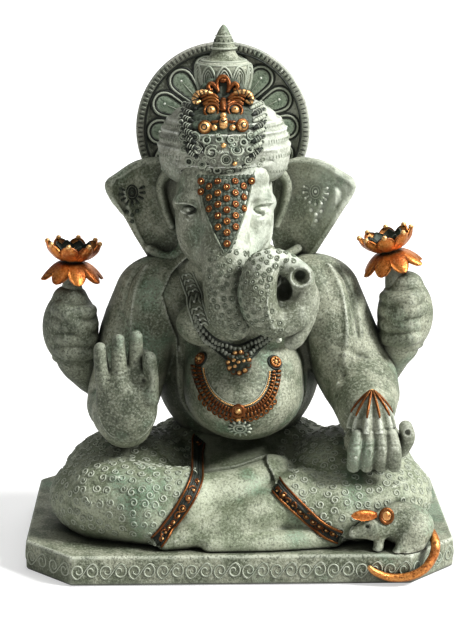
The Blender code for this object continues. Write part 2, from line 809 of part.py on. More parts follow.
def lotus_flower(name, foot, lean):
    """Drooping petals below and a bowl of rising petals above, round one waist."""
    r, h = LOTUS_RADIUS, LOTUS_HEIGHT
    rows = [(0.34, 0.0, 0), (0.95, -0.26, 1), (1.0, -0.2, 1), (0.42, 0.24, 0), (0.5, 0.34, 0)]
    rows += [(0.92, 0.68, 1), (0.86, 0.8, 1), (0.45, 0.66, 0), (0.0, 0.62, 0)]
    steps = LOTUS_PETALS * 2
    shape = bmesh.new()
    rings = []
    for width, rise, petal in rows:
        if width == 0:
            rings.append([shape.verts.new((0, 0, rise * h))])
            continue
        ring = []
        for step in range(steps):
            turn = math.tau * step / steps
            lobe = 1 - 0.22 * petal * (0.5 + 0.5 * math.cos(LOTUS_PETALS * turn))
            ring.append(shape.verts.new((r * width * lobe * math.cos(turn), r * width * lobe * math.sin(turn), rise * h)))
        rings.append(ring)
    for lower, upper in zip(rings, rings[1:]):
        for step in range(steps):
            after = (step + 1) % steps
            corners = [lower[step], lower[after], upper[after % len(upper)], upper[step % len(upper)]]
            kept = [c for i, c in enumerate(corners) if c not in corners[:i]]
            shape.faces.new(kept)
    shape.faces.new(rings[0][::-1])
    place = Matrix.Translation(foot) @ Matrix.Rotation(lean, 4, "Y")
    bmesh.ops.transform(shape, matrix=place, verts=shape.verts)
    return solid(name, shape, COPPER)


# ---------------------------------------------------------------- head


def make_head(torso):
    head = ellipsoid("head", HEAD, HEAD_RADII)
    for side in (-1, 1):
        cheek = HEAD + Vector((side * 15 * MM, -4 * MM, -24 * MM))
        unite(head, ellipsoid("cheek", cheek, (20 * MM, 22 * MM, 26 * MM), segments=12, rings=7))
    neck = HEAD + Vector((0, 14 * MM, -34 * MM))
    unite(head, ellipsoid("neck", neck, NECK_RADII, segments=12, rings=7))
    cast(head)
    core = ellipsoid("core", HEAD, [r - CAST_WALL * 1.3 for r in HEAD_RADII], segments=16, rings=10)
    unite(core, cylinder("throat", HEAD, neck - Vector((0, 0, 60 * MM)), NECK_RADII[0] * 0.4))
    cut(head, core)
    drop_offcuts(head)
    spigot(head, torso, neck + Vector((0, NECK_RADII[1] * 0.68, 0)), (0, 0, -1))
    return head


def make_cap(head):
    """The tall dressed cap over the brow."""
    cap = ellipsoid("crown_cap", CAP, CAP_RADII)
    cast(cap)
    core = ellipsoid("core", CAP, [r - CAST_WALL * 1.4 for r in CAP_RADII], segments=16, rings=10)
    cut(core, cylinder("pillar", HEAD, CAP + Vector((0, 0, CAP_RADII[2])), SPIGOT_RADIUS + BOSS_WALL))
    cut(cap, core)
    drop_offcuts(cap)
    spigot(cap, head, CAP + Vector((0, 0, CAP_RADII[2] * 0.7)), (0, 0, -1))
    return cap


def make_dome(cap):
    r, h = DOME_RADIUS, DOME_HEIGHT
    profile = [(r * 0.72, -h * 0.25), (r * 0.86, h * 0.2), (r, h * 0.55), (r * 0.95, h * 0.8)]
    profile += [(r * 0.7, h), (r * 0.42, h * 1.02)]
    foot = CAP + Vector((0, 8 * MM, CAP_RADII[2] * 0.86))
    dome = cast(turned("crown_dome", profile, foot, steps=18))
    spigot(dome, cap, foot + Vector((0, 0, h / 2)), (0, 0, -1))
    return dome, foot + Vector((0, 0, h))


def make_finial(foot, dome):
    r, h = FINIAL_RADIUS, FINIAL_HEIGHT
    profile = [(r * 1.25, 0.3 * MM), (r * 0.95, h * 0.22), (r * 0.78, h * 0.4), (r * 0.92, h * 0.46)]
    profile += [(r, h * 0.55), (r * 0.72, h * 0.76), (r * 0.3, h * 0.93), (0, h)]
    finial = cast(turned("finial", profile, foot, steps=12))
    spigot(finial, dome, foot + Vector((0, 0, h / 2)), (0, 0, -1))


def make_trunk(head):
    """It comes down from the brow, turns at the chest and rises again in an open curl."""
    top = HEAD + Vector((0, -32 * MM, -2 * MM))
    down = [top, top + Vector((0, -10 * MM, -22 * MM)), top + Vector((1 * MM, -16 * MM, -44 * MM))]
    down.append(top + Vector((5 * MM, -22 * MM, -62 * MM)))
    radii = (TRUNK_RADIUS * 1.05, TRUNK_RADIUS, TRUNK_RADIUS * 0.95, TRUNK_RADIUS * 0.85)
    trunk = swept("trunk", down, radii, sides=12)
    centre = curl_centre()
    turns = [math.radians(a) for a in range(-20, -301, -35)]
    path = [centre + CURL_RADIUS * Vector((math.cos(t), 0, math.sin(t))) for t in turns]
    thickness = [CURL_THICKNESS * (0.72 + 0.33 * math.sin(math.pi * i / (len(turns) - 1))) for i in range(len(turns))]
    unite(trunk, swept("curl", path, thickness, sides=10))
    cast(trunk)
    spigot(trunk, head, down[1] + Vector((0, 0, 5 * MM)), (0, 1, 0))
    return trunk


def curl_centre():
    return HEAD + Vector((34 * MM, -62 * MM, -49 * MM))


def make_ear(side, head):
    """A thick fan with a straight outer edge, standing out from the side of the head."""
    name = "left_ear" if side > 0 else "right_ear"
    root_x = HEAD.x + side * HEAD_RADII[0] * 0.86
    top_z = HEAD.z + EAR_HEIGHT * 0.33
    shape = [
        (root_x - side * 4 * MM, top_z),
        (root_x + side * EAR_REACH * 0.45, top_z + 1 * MM),
        (root_x + side * EAR_REACH * 0.85, top_z - 6 * MM),
        (root_x + side * (EAR_REACH + 6 * MM), top_z - 14 * MM),
        (root_x + side * EAR_REACH * 0.45, top_z - EAR_HEIGHT * 0.9),
        (root_x + side * EAR_REACH * 0.3, top_z - EAR_HEIGHT),
        (root_x - side * 6 * MM, top_z - EAR_HEIGHT * 0.95),
    ]
    low = 12 * MM
    ear = cast(prism(name, shape, low, low + EAR_THICKNESS))
    root = (HEAD.x + side * HEAD_RADII[0] * 0.8, low + EAR_THICKNESS / 2, HEAD.z - 4 * MM)
    reach = Vector((-side * SPIGOT_LENGTH, 0, 0))
    pin_radius = EAR_THICKNESS * 0.36
    start, end = Vector(root) - reach, Vector(root) + reach
    cut(head, cylinder("socket", start, end + reach.normalized() * CLEARANCE, pin_radius + CLEARANCE))
    unite(ear, cylinder("pin", start, end, pin_radius))
    return ear


def make_tusk(head):
    """The whole tusk, on the left: the other is broken off short, as on every such figure."""
    root = HEAD + Vector((30 * MM, -32 * MM, -34 * MM))
    tip = root + Vector((8 * MM, -22 * MM, -26 * MM))
    middle = (root + tip) / 2 + Vector((3 * MM, 0, -2 * MM))
    radii = (TUSK_RADIUS, TUSK_RADIUS * 0.85, TUSK_RADIUS * 0.5)
    return cast(swept("left_tusk", (root, middle, tip), radii, sides=10))


def make_halo(cap):
    """A round plate behind the cap, with a ring of petals round its front."""
    centre = Vector((HEAD_OFFSET, CAP.y + CAP_RADII[1] + CLEARANCE - 3 * MM, CAP.z + 1.5 * MM))
    steps = HALO_PETALS * 2
    outline = [(HALO_RADIUS * math.cos(math.tau * s / steps), HALO_RADIUS * math.sin(math.tau * s / steps)) for s in range(steps)]
    shifted = [(centre.x + x, centre.z + z) for x, z in outline]
    halo = prism("halo", shifted, centre.y, centre.y + HALO_THICKNESS)
    recess = [(centre.x + x * 0.9, centre.z + z * 0.9) for x, z in outline]
    cut(halo, prism("recess", recess, centre.y - MM, centre.y + HALO_THICKNESS * 0.3))
    cast(halo)
    stud_end = centre.y + HALO_THICKNESS + NUT_HEIGHT + 3 * MM
    start, end = centre + Vector((0, -14 * MM, 0)), Vector((centre.x, stud_end, centre.z))
    bore = cylinder("bore", start - Vector((0, CLEARANCE, 0)), end, HALO_STUD_RADIUS + CLEARANCE)
    cut(halo, placed("bore", bore.data.copy()))
    cut(cap, bore)
    castings.append(cylinder("halo_stud", start, end, HALO_STUD_RADIUS, finish=STEEL))
    nut_low = centre + Vector((0, HALO_THICKNESS + CLEARANCE, 0))
    nut = cylinder("halo_nut", nut_low, nut_low + Vector((0, NUT_HEIGHT, 0)), NUT_RADIUS, 6, STEEL)
    cast(nut)
    return halo


def make_crest(cap):
    """The mask-like ornament on the front of the cap, as a shaped plate with round bosses."""
    x, z = HEAD_OFFSET - 1 * MM, CAP.z + CAP_RADII[2] * 0.68
    w, h = CREST_WIDTH / 2, CREST_HEIGHT / 2
    half = [(0, h), (0.3 * w, 0.7 * h), (0.9 * w, 0.5 * h), (w, 0.1 * h), (0.62 * w, -0.1 * h), (0.75 * w, -0.7 * h), (0, -h)]
    outline = [(x + a, z + b) for a, b in half] + [(x - a, z + b) for a, b in half[-2:0:-1]]
    plate = veneer("crown_crest", cap, outline, ORNAMENT_PROUD, COPPER)
    return cast(plate, [cap])


def make_brow_panel():
    """A beaded plate that hangs from the cap over the brow and runs down the trunk to a point."""
    rows = ((29, 40.5, 18.5), (16, 44, 15.5), (3, 49.5, 11), (-9, 54.5, 7), (-20, 57.5, 3))
    shape = bmesh.new()
    rings = []
    for rise, front, half in rows:
        x, y, z = HEAD_OFFSET, HEAD.y - (front + 1.5) * MM, HEAD.z + rise * MM
        corners = ((-half, 3.5), (-half * 0.4, 0), (half * 0.4, 0), (half, 3.5), (half, 18), (-half, 18))
        rings.append([shape.verts.new((x + a * MM, y + b * MM, z)) for a, b in corners])
    for upper, lower in zip(rings, rings[1:]):
        for step in range(6):
            after = (step + 1) % 6
            shape.faces.new((upper[step], upper[after], lower[after], lower[step]))
    shape.faces.new(rings[0])
    shape.faces.new(rings[-1])
    return cast(solid("brow_panel", shape, COPPER))


# ---------------------------------------------------------------- jewellery


def make_necklace(torso):
    """A white string in a shallow V below the trunk."""
    low = (BELLY.x - 3 * MM, BELLY.z + BELLY_RADII[2] * 0.44)
    reach, rise = BELLY_RADII[0] * 0.5, BELLY_RADII[2] * 0.42
    points = [(low[0] - reach, low[1] + rise), (low[0] - reach * 0.55, low[1] + rise * 0.35), low]
    points += [(low[0] + reach * 0.55, low[1] + rise * 0.3), (low[0] + reach, low[1] + rise * 0.85)]
    string = veneer("necklace", torso, band(points, NECKLACE_WIDTH), ORNAMENT_PROUD * 0.6)
    return cast(string, [torso])


def chain_centre():
    return (BELLY.x - 2 * MM, BELLY.z + BELLY_RADII[2] * 0.35)


def make_chain(torso):
    """A broad copper chain that hangs in a U on the belly."""
    ring = arc(chain_centre(), CHAIN_RADIUS, 188, 352, 12)
    chain = veneer("belly_chain", torso, band(ring, CHAIN_WIDTH), ORNAMENT_PROUD * 0.8, COPPER)
    return cast(chain, [torso])


def make_stud_ornament(name, x, z, radius, finish):
    """A round boss that lies on the belly."""
    seat = belly_front(x, z)
    outward = Vector((0, -1, 0))
    start, end = seat - outward * 3 * MM, seat + outward * ORNAMENT_PROUD * 1.6
    return cast(cylinder(name, start, end, radius, sides=14, finish=finish))


def make_belly_ornaments():
    x, z = chain_centre()
    make_stud_ornament("chain_boss", x, z - CHAIN_RADIUS, BOSS_RADIUS, COPPER)
    make_stud_ornament("right_rosette", x - CHAIN_RADIUS, z + 2 * MM, BOSS_RADIUS, COPPER)
    make_stud_ornament("left_rosette", x + CHAIN_RADIUS, z + 2 * MM, BOSS_RADIUS, COPPER)
    make_stud_ornament("medallion", x, z + 3 * MM, MEDALLION_RADIUS, COPPER)
    make_stud_ornament("pendant_flower", x, z - CHAIN_RADIUS - BOSS_RADIUS - PENDANT_RADIUS, PENDANT_RADIUS, PATINA)


# ---------------------------------------------------------------- mouse


def mouse_centre():
    x = PLINTH_WIDTH / 2 - MOUSE_MARGIN
    y = -PLINTH_DEPTH / 2 + MOUSE_MARGIN * 0.55
    return Vector((x, y, DECK + MOUSE_RADII[2] * 0.8))


def make_mouse():
    centre = mouse_centre()
    body = ellipsoid("mouse", centre, MOUSE_RADII, turn=math.radians(-12), segments=12, rings=8)
    head = centre + Vector((-19 * MM, -5 * MM, 4 * MM))
    unite(body, ellipsoid("mouse_head", head, (12 * MM, 9 * MM, 9 * MM), segments=10, rings=7))
    snout = head + Vector((-13 * MM, -2 * MM, 1 * MM))
    unite(body, swept("snout", (head, snout), (7 * MM, 3.4 * MM), sides=10))
    haunch = centre + Vector((9 * MM, -9 * MM, -4 * MM))
    unite(body, ellipsoid("haunch", haunch, (11 * MM, 8 * MM, 10 * MM), segments=9, rings=6))
    cast(level_off(body, DECK + CLEARANCE))
    for name, shift in (("mouse_right_ear", -3 * MM), ("mouse_left_ear", 9 * MM)):
        seat = head + Vector((shift + 1 * MM, -4 * MM + shift * 0.2, 8 * MM))
        radii = (MOUSE_EAR_RADIUS * 0.8, MOUSE_EAR_RADIUS * 0.55, MOUSE_EAR_RADIUS)
        cast(ellipsoid(name, seat, radii, segments=9, rings=6, finish=COPPER))


def make_tail():
    """It leaves the rump, hangs over the chamfered corner and curls back along the plinth's front."""
    front = -PLINTH_DEPTH / 2 - TAIL_RADIUS - CLEARANCE
    rump = mouse_centre() + Vector((17 * MM, 2 * MM, 2 * MM))
    hook_x = mouse_centre().x - 5 * MM
    path = [rump, rump + Vector((4 * MM, -8 * MM, -6 * MM))]
    path.append(Vector((hook_x + TAIL_REACH * 0.95, front + 10 * MM, DECK * 0.62)))
    path.append(Vector((hook_x + TAIL_REACH * 0.6, front + 2 * MM, DECK * 0.36)))
    path.append(Vector((hook_x, front, DECK * 0.24)))
    path.append(Vector((hook_x - TAIL_REACH * 0.55, front, DECK * 0.36)))
    path.append(Vector((hook_x - TAIL_REACH * 0.8, front, DECK * 0.52)))
    radii = [TAIL_RADIUS] * 6 + [TAIL_RADIUS * 0.7]
    return cast(swept("mouse_tail", path, radii, sides=10, finish=COPPER))


# ---------------------------------------------------------------- assembly


def settle_in_frame():
    """Moves everything back by half the tail's overhang, so the origin is under the middle."""
    frame = bpy.data.objects.new("frame_origin", None)
    bpy.context.scene.collection.objects.link(frame)
    for piece in castings:
        piece.parent = frame
        join_flat_faces(piece.data)
        piece.data.shade_smooth()
        piece.data.set_sharp_from_angle(angle=math.radians(40))
    frame.location.y = FRAME_SHIFT


def main():
    clear_scene()
    make_plinth()
    torso, waist = make_torso()
    make_lap()
    legs = {side: make_leg(side) for side in (-1, 1)}
    make_bolts(*legs.values())
    right_arm, right_wrist = make_front_arm(-1, torso)
    left_arm, left_wrist = make_front_arm(1, torso)
    make_raised_hand(right_wrist, right_arm)
    _, palm = make_giving_hand(left_wrist, left_arm)
    make_modak(palm)
    make_bracelet(left_wrist, left_arm)
    for side in (-1, 1):
        arm, wrist = make_rear_arm(side, torso)
        fist, centre = make_fist(side, wrist, arm)
        make_lotus(side, centre, fist)
    head = make_head(torso)
    cap = make_cap(head)
    dome, dome_top = make_dome(cap)
    make_finial(dome_top, dome)
    make_halo(cap)
    make_trunk(head)
    for side in (-1, 1):
        make_ear(side, head)
    make_tusk(head)
    make_crest(cap)
    make_brow_panel()
    make_necklace(torso)
    make_chain(torso)
    make_belly_ornaments()
    for side in (-1, 1):
        make_hem_band(side, legs[side])
    make_mouse()
    make_tail()
    hollow_torso(torso, waist)
    settle_in_frame()


main()
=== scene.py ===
"""The looks of a seated four-armed elephant-headed idol in patinated brass.

The figure faces -Y, and its right side is at -X. Lengths are in millimetres until a mesh is made.
"""

import math

import bmesh
import bpy
import numpy as np
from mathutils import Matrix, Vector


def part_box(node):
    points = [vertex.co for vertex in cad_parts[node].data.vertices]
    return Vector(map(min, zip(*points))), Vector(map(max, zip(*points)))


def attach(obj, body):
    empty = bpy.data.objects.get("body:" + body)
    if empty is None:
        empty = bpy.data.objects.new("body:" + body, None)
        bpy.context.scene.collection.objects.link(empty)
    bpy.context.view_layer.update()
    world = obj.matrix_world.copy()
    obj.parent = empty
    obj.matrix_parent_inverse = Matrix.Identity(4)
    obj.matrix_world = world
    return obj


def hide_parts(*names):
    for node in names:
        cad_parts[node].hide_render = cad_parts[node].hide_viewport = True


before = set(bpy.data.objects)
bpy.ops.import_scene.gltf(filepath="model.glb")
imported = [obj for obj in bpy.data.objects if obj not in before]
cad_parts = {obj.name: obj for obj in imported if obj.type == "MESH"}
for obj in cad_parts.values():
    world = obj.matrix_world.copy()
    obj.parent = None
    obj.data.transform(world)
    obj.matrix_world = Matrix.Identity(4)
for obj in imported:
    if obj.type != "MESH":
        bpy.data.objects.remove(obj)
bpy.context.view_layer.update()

import openvdb
from mathutils import Matrix, Vector
from mathutils.bvhtree import BVHTree

MM = 0.001
FAR = 1000.0
SEED = 7
TAU = math.tau
UP = np.array((0.0, 0.0, 1.0))


def middle(node):
    """The middle of a casting's box."""
    low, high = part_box(node)
    return (np.array(low) + np.array(high)) / 2 / MM


def corners_of(node):
    """The low and the high corner of a casting's box."""
    low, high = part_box(node)
    return np.array(low) / MM, np.array(high) / MM


PLINTH_LOW, PLINTH_HIGH = corners_of("plinth")
PLINTH_CORNER = 32
BOLTS = [f"plinth_bolt_{i}" for i in range(1, 5)]
BOLT_HOLE_RADIUS = 3.4
DECK = PLINTH_HIGH[2]
ORIGIN = np.array((middle("plinth")[0], middle("plinth")[1], 0.0))


def at(x, y, z):
    """A point from the middle of the plinth's underside."""
    return ORIGIN + (x, y, z)


def hand_of(side):
    """The figure's own left is at +X."""
    return "left" if side > 0 else "right"


def unit(vector):
    """The same direction, one long."""
    vector = np.asarray(vector, float)
    return vector / max(np.linalg.norm(vector), 1e-9)


# ---------------------------------------------------------------- modelling clay


def soft_min(a, b, blend):
    """The smaller of two distances, with the corner between them rounded over the blend."""
    if blend <= 0:
        return np.minimum(a, b)
    share = np.clip(0.5 + 0.5 * (b - a) / blend, 0, 1)
    return b + (a - b) * share - blend * share * (1 - share)


def edged(flat, deep, rounding):
    """How far outside two distances at once, with the edge between them rounded."""
    outside = np.sqrt(np.maximum(flat, 0) ** 2 + np.maximum(deep, 0) ** 2)
    return outside + np.minimum(np.maximum(flat, deep), 0) - rounding


class Clay:
    """A block of clay on a grid: each value is how far that point lies outside the surface."""

    def __init__(self, low, high, step):
        low, high = np.array(low, float), np.array(high, float)
        counts = np.ceil((high - low) / step).astype(int) + 1
        self.step = step
        self.axes = [low[i] + step * np.arange(counts[i]) for i in range(3)]
        self.depth = np.full(counts, FAR, np.float32)

    def window(self, low, high):
        """The part of the grid between two corners: where it is, and its X, Y and Z."""
        spans = []
        for axis, a, b in zip(self.axes, low, high):
            first = int(np.clip((a - axis[0]) / self.step - 1, 0, len(axis)))
            last = int(np.clip((b - axis[0]) / self.step + 2, 0, len(axis)))
            spans.append(slice(first, last))
        x, y, z = (axis[span].astype(np.float32) for axis, span in zip(self.axes, spans))
        return tuple(spans), (x[:, None, None], y[None, :, None], z[None, None, :])

    def lay(self, *shapes, blend=2.0):
        """Presses more clay on, with a fillet as wide as the blend."""
        for low, high, distance in shapes:
            margin = blend + 4 * self.step
            spans, grid = self.window(low - margin, high + margin)
            self.depth[spans] = soft_min(self.depth[spans], distance(*grid), blend)
        return self

    def dig(self, *shapes, blend=1.0):
        """Takes clay away."""
        for low, high, distance in shapes:
            margin = blend + 4 * self.step
            spans, grid = self.window(low - margin, high + margin)
            self.depth[spans] = -soft_min(-self.depth[spans], distance(*grid), blend)
        return self

    def score(self, points, width, depth):
        """Draws a groove along a line, or a ridge where the depth is negative."""
        low, high, distance = chain(points, 0)
        spans, grid = self.window(low - 3 * width, high + 3 * width)
        gap = distance(*grid)
        self.depth[spans] += depth * np.exp(-((gap / width) ** 2))
        return self

    def trim(self, axis, level, keep):
        """Cuts the clay flat: keep is +1 to keep what lies above the level and -1 below."""
        shape = [1, 1, 1]
        shape[axis] = -1
        flat = keep * (level - self.axes[axis].astype(np.float32)).reshape(shape)
        self.depth = np.maximum(self.depth, flat)
        return self

    def coat(self, thickness, region, blend):
        """Lays an even coat, with a stepped edge, wherever the region is negative."""
        grid = [
            axis.astype(np.float32).reshape(shape)
            for axis, shape in zip(self.axes, ((-1, 1, 1), (1, -1, 1), (1, 1, -1)))
        ]
        self.depth = soft_min(self.depth, np.maximum(self.depth - thickness, region(*grid)), blend)
        return self

    def surface(self):
        """The clay's skin as points and four-cornered faces."""
        band = 3 * self.step
        grid = openvdb.FloatGrid(band)
        grid.copyFromArray(np.clip(self.depth, -band, band).astype(np.float32), tolerance=0)
        grid.transform = openvdb.createLinearTransform(voxelSize=self.step)
        grid.gridClass = openvdb.GridClass.LEVEL_SET
        points, quads = grid.convertToQuads(0.0)
        start = np.array([axis[0] for axis in self.axes])
        return points + start, quads[:, ::-1].astype(np.int64)


def turn_matrix(turn):
    """Turns in degrees about X, then Y, then Z."""
    x, y, z = (math.radians(angle) for angle in turn)
    return np.array(
        Matrix.Rotation(z, 3, "Z") @ Matrix.Rotation(y, 3, "Y") @ Matrix.Rotation(x, 3, "X")
    )


def along_edge(pairs, value):
    """A smooth edge through pairs of (height, place): its place at each height."""
    heights, places = zip(*sorted(pairs))
    return np.interp(value, heights, places)


# Pairs of height and place across, from the bottom up.
RIGHT_HEM = ((20, -60), (29, -54), (51.5, -37), (62, -31), (72, -27), (90, -22))
LEFT_HEM = ((20, 80), (29.5, 66), (44, 43), (58.5, 25), (70, 18), (90, 14))
JACKET_RIGHT = (
    (60, -44), (100, -43), (118, -42), (146, -42), (165, -48), (180, -52), (192, -46), (204, -34)
)
JACKET_LEFT = (
    (60, 54), (100, 54), (118, 52), (147, 48), (167, 50.5), (182, 51), (192, 44), (204, 30)
)


def trouser_region(x, y, z):
    """Negative where the trousers cover the legs, beyond each hem."""
    right = x - ORIGIN[0] - along_edge(RIGHT_HEM, z)
    left = along_edge(LEFT_HEM, z) - (x - ORIGIN[0])
    behind = -(y - ORIGIN[1]) - 36
    return np.minimum(np.minimum(right, left), behind)


def jacket_region(x, y, z):
    """Negative where the jacket covers the body: everywhere but a long opening down the front."""
    across = x - ORIGIN[0]
    opening = np.minimum(across - along_edge(JACKET_RIGHT, z), along_edge(JACKET_LEFT, z) - across)
    return np.minimum(opening, -(y - ORIGIN[1]) - 4)


SLEEVE_FOLDS = (
    ([(56, -8, 200), (64, -20, 182), (66, -27, 160), (62, -30, 136), (60, -32, 112)], 2.2, 2.4),
    ([(62, -6, 200), (71, -17, 180), (74, -24, 158), (72, -27, 134)], 2.2, -2.0),
    ([(66, -2, 198), (77, -12, 176), (81, -19, 152), (82, -24, 128)], 2.2, 2.2),
    ([(68, 8, 196), (84, 0, 168), (91, -6, 142), (96, -12, 120)], 2.4, 1.8),
    ([(70, 26, 186), (82, 26, 160), (84, 24, 136)], 2.6, 1.6),
    ([(30, 40, 190), (48, 50, 160), (50, 54, 120), (44, 54, 84)], 3.0, 1.8),
    ([(12, 44, 186), (20, 54, 150), (22, 58, 110), (18, 58, 80)], 3.0, 1.6),
    ([(58, -30, 136), (74, -31, 124), (92, -28, 116), (104, -14, 112)], 2.2, 2.3),
    ([(60, -33, 126), (76, -36, 114), (94, -32, 106), (103, -18, 102)], 2.0, -2.0),
    ([(62, -35, 116), (78, -40, 106), (96, -34, 98)], 2.0, 2.0),
    ([(60, -26, 150), (78, -27, 140), (96, -18, 132)], 2.2, 1.8),
    ([(62, -38, 104), (74, -46, 98), (90, -42, 90)], 2.0, 1.5),
)


def jacket_folds():
    """Piping along each edge, folds down the shoulders, and gathers round the sleeves."""
    for pairs, side in ((JACKET_RIGHT, -1), (JACKET_LEFT, 1)):
        edge = [(x + side * 3.6, -34 - 8 * (z < 160) + 12 * (z > 186), z) for z, x in pairs]
        yield edge, 1.1, 1.4
        yield [(x + side * 9, y - 1, z) for x, y, z in edge], 1.6, 1.4
        yield [(x + side * 6.4, y - 1, z) for x, y, z in edge], 1.5, -1.6
        for places, width, depth in SLEEVE_FOLDS:
            yield [(side * x, y, z) for x, y, z in places], width, depth


def egg(centre, radii, turn=(0, 0, 0)):
    """An ellipsoid, which may be turned."""
    centre, radii = np.array(centre, float), np.array(radii, float)
    frame_turn = turn_matrix(turn)
    reach = np.sqrt(((frame_turn * radii) ** 2).sum(1))

    def distance(x, y, z):
        x, y, z = x - centre[0], y - centre[1], z - centre[2]
        if any(turn):
            x, y, z = (
                frame_turn[0, i] * x + frame_turn[1, i] * y + frame_turn[2, i] * z for i in range(3)
            )
        scaled = (x / radii[0]) ** 2 + (y / radii[1]) ** 2 + (z / radii[2]) ** 2
        steep = (x / radii[0] ** 2) ** 2 + (y / radii[1] ** 2) ** 2 + (z / radii[2] ** 2) ** 2
        size = np.sqrt(scaled)
        return size * (size - 1) / np.sqrt(steep + 1e-12)

    return centre - reach, centre + reach, distance


def chain(points, radii):
    """A rope of clay through points, with a radius at each."""
    points = np.array(points, float)
    radii = np.broadcast_to(np.array(radii, float), len(points))
    widest = radii.max()

    def distance(x, y, z):
        nearest = None
        for a, b, first, second in zip(points, points[1:], radii, radii[1:]):
            along = b - a
            length = max(float(along @ along), 1e-9)
            dx, dy, dz = x - a[0], y - a[1], z - a[2]
            share = np.clip((dx * along[0] + dy * along[1] + dz * along[2]) / length, 0, 1)
            gap = np.sqrt(
                (dx - share * along[0]) ** 2 + (dy - share * along[1]) ** 2
                + (dz - share * along[2]) ** 2
            )
            gap = gap - (first + share * (second - first))
            nearest = gap if nearest is None else np.minimum(nearest, gap)
        return nearest

    return points.min(0) - widest, points.max(0) + widest, distance


def chain_from(start, rows):
    """The same, from rows of x, y, z and radius counted from a start point."""
    return chain([start + row[:3] for row in rows], [row[3] for row in rows])


def slab(outline, centre_y, thickness, rounding=1.5, bow=None):
    """A plate whose outline is given in X and Z. bow gives how far back its middle lies there."""
    outline = np.array(outline, float)
    after = np.roll(outline, -1, axis=0)

    def flat_distance(x, z):
        gap, inside = None, None
        for a, b in zip(outline, after):
            edge = b - a
            dx, dz = x - a[0], z - a[1]
            share = np.clip((dx * edge[0] + dz * edge[1]) / float(edge @ edge), 0, 1)
            near = (dx - share * edge[0]) ** 2 + (dz - share * edge[1]) ** 2
            gap = near if gap is None else np.minimum(gap, near)
            crosses = (a[1] > z) != (b[1] > z)
            slope = edge[0] / (edge[1] if abs(edge[1]) > 1e-9 else 1e-9)
            crosses = crosses & (x < a[0] + (z - a[1]) * slope)
            inside = crosses if inside is None else inside ^ crosses
        return np.where(inside, -np.sqrt(gap), np.sqrt(gap))

    def distance(x, y, z):
        flat = flat_distance(x, z) + rounding
        back = centre_y if bow is None else centre_y + bow(x, z)
        deep = np.abs(y - back) - thickness / 2 + rounding
        return edged(flat, deep, rounding)

    slack = 14 if bow is not None else 0
    low = np.array((outline[:, 0].min(), centre_y - thickness / 2 - slack, outline[:, 1].min()))
    high = np.array((outline[:, 0].max(), centre_y + thickness / 2 + slack, outline[:, 1].max()))
    return low, high, distance


def flow(points, steps=6):
    """A smooth line through points of any number of values each."""
    points = np.array(points, float)
    ends = np.vstack((2 * points[0] - points[1], points, 2 * points[-1] - points[-2]))
    line = []
    for i in range(1, len(ends) - 2):
        a, b, c, d = ends[i - 1 : i + 3]
        for t in np.arange(steps) / steps:
            line.append(
                0.5 * (
                    2 * b + (c - a) * t + (2 * a - 5 * b + 4 * c - d) * t**2
                    + (3 * b - a - 3 * c + d) * t**3
                )
            )
    line.append(points[-1])
    return np.array(line)


def along_and_across(line):
    """The directions along a flat line and square to it, at each of its points."""
    along = np.gradient(line, axis=0)
    along /= np.linalg.norm(along, axis=1, keepdims=True)
    return along, np.stack((-along[:, 1], along[:, 0]), -1)


def rope(points, steps=6):
    """A smooth rope of clay, from rows of x, y, z and radius."""
    line = flow(points, steps)
    return chain(line[:, :3], line[:, 3])


def rope_from(start, rows, steps=3):
    """The same, with the rows counted from a start point."""
    return rope([(*(start + row[:3]), row[3]) for row in rows], steps)


def crease(clay, places, width, depth, steps=6):
    """Scores a smooth line through places counted from the middle of the plinth's underside."""
    clay.score(flow([at(*place) for place in places], steps), width, depth)


# ---------------------------------------------------------------- meshes


def make_mesh(name, points, face_sets):
    """A smooth-shaded object from points and arrays of faces, each of one number of corners."""
    mesh = bpy.data.meshes.new(name)
    mesh.vertices.add(len(points))
    mesh.vertices.foreach_set("co", (np.asarray(points) * MM).astype(np.float32).ravel())
    face_sets = [np.asarray(faces) for faces in face_sets if len(faces)]
    corners = np.concatenate([faces.ravel() for faces in face_sets])
    sizes = np.concatenate([np.full(len(faces), faces.shape[1]) for faces in face_sets])
    mesh.loops.add(len(corners))
    mesh.loops.foreach_set("vertex_index", corners.astype(np.int32))
    mesh.polygons.add(len(sizes))
    mesh.polygons.foreach_set("loop_start", (np.cumsum(sizes) - sizes).astype(np.int32))
    mesh.update(calc_edges=True)
    mesh.polygons.foreach_set("use_smooth", np.ones(len(sizes), bool))
    obj = bpy.data.objects.new(name, mesh)
    bpy.context.scene.collection.objects.link(obj)
    return obj


def show(obj, finish, replaces=()):
    """Gives a piece its finish, hangs it on the root body, and hides the castings it stands for."""
    obj.data.materials.clear()
    obj.data.materials.append(finish)
    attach(obj, "root")
    if replaces:
        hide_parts(*replaces)
    return obj


def cast(name, clay, finish, replaces=()):
    """Turns clay into a finished piece."""
    points, quads = clay.surface()
    return show(make_mesh(name, points, [quads]), finish, replaces)


def skin_of(obj):
    """What raised work is laid on: the surface of a piece made of clay, in millimetres."""
    mesh = obj.data
    points = np.empty(len(mesh.vertices) * 3, np.float32)
    mesh.vertices.foreach_get("co", points)
    points = points.reshape(-1, 3) / MM
    faces = np.empty(len(mesh.loops), np.int32)
    mesh.loops.foreach_get("vertex_index", faces)
    faces = faces.reshape(-1, 4)
    tree = BVHTree.FromPolygons(points.tolist(), faces.tolist())
    return {"tree": tree, "points": points, "faces": faces}


def facing(skin, point, direction=(0, 1, 0)):
    """Where a line from the point first meets the skin, and the way out of it there."""
    spot, outward, _, _ = skin["tree"].ray_cast(Vector(point), Vector(direction))
    if spot is None:
        spot, outward, _, _ = skin["tree"].find_nearest(Vector(point))
    return np.array(spot), np.array(outward)


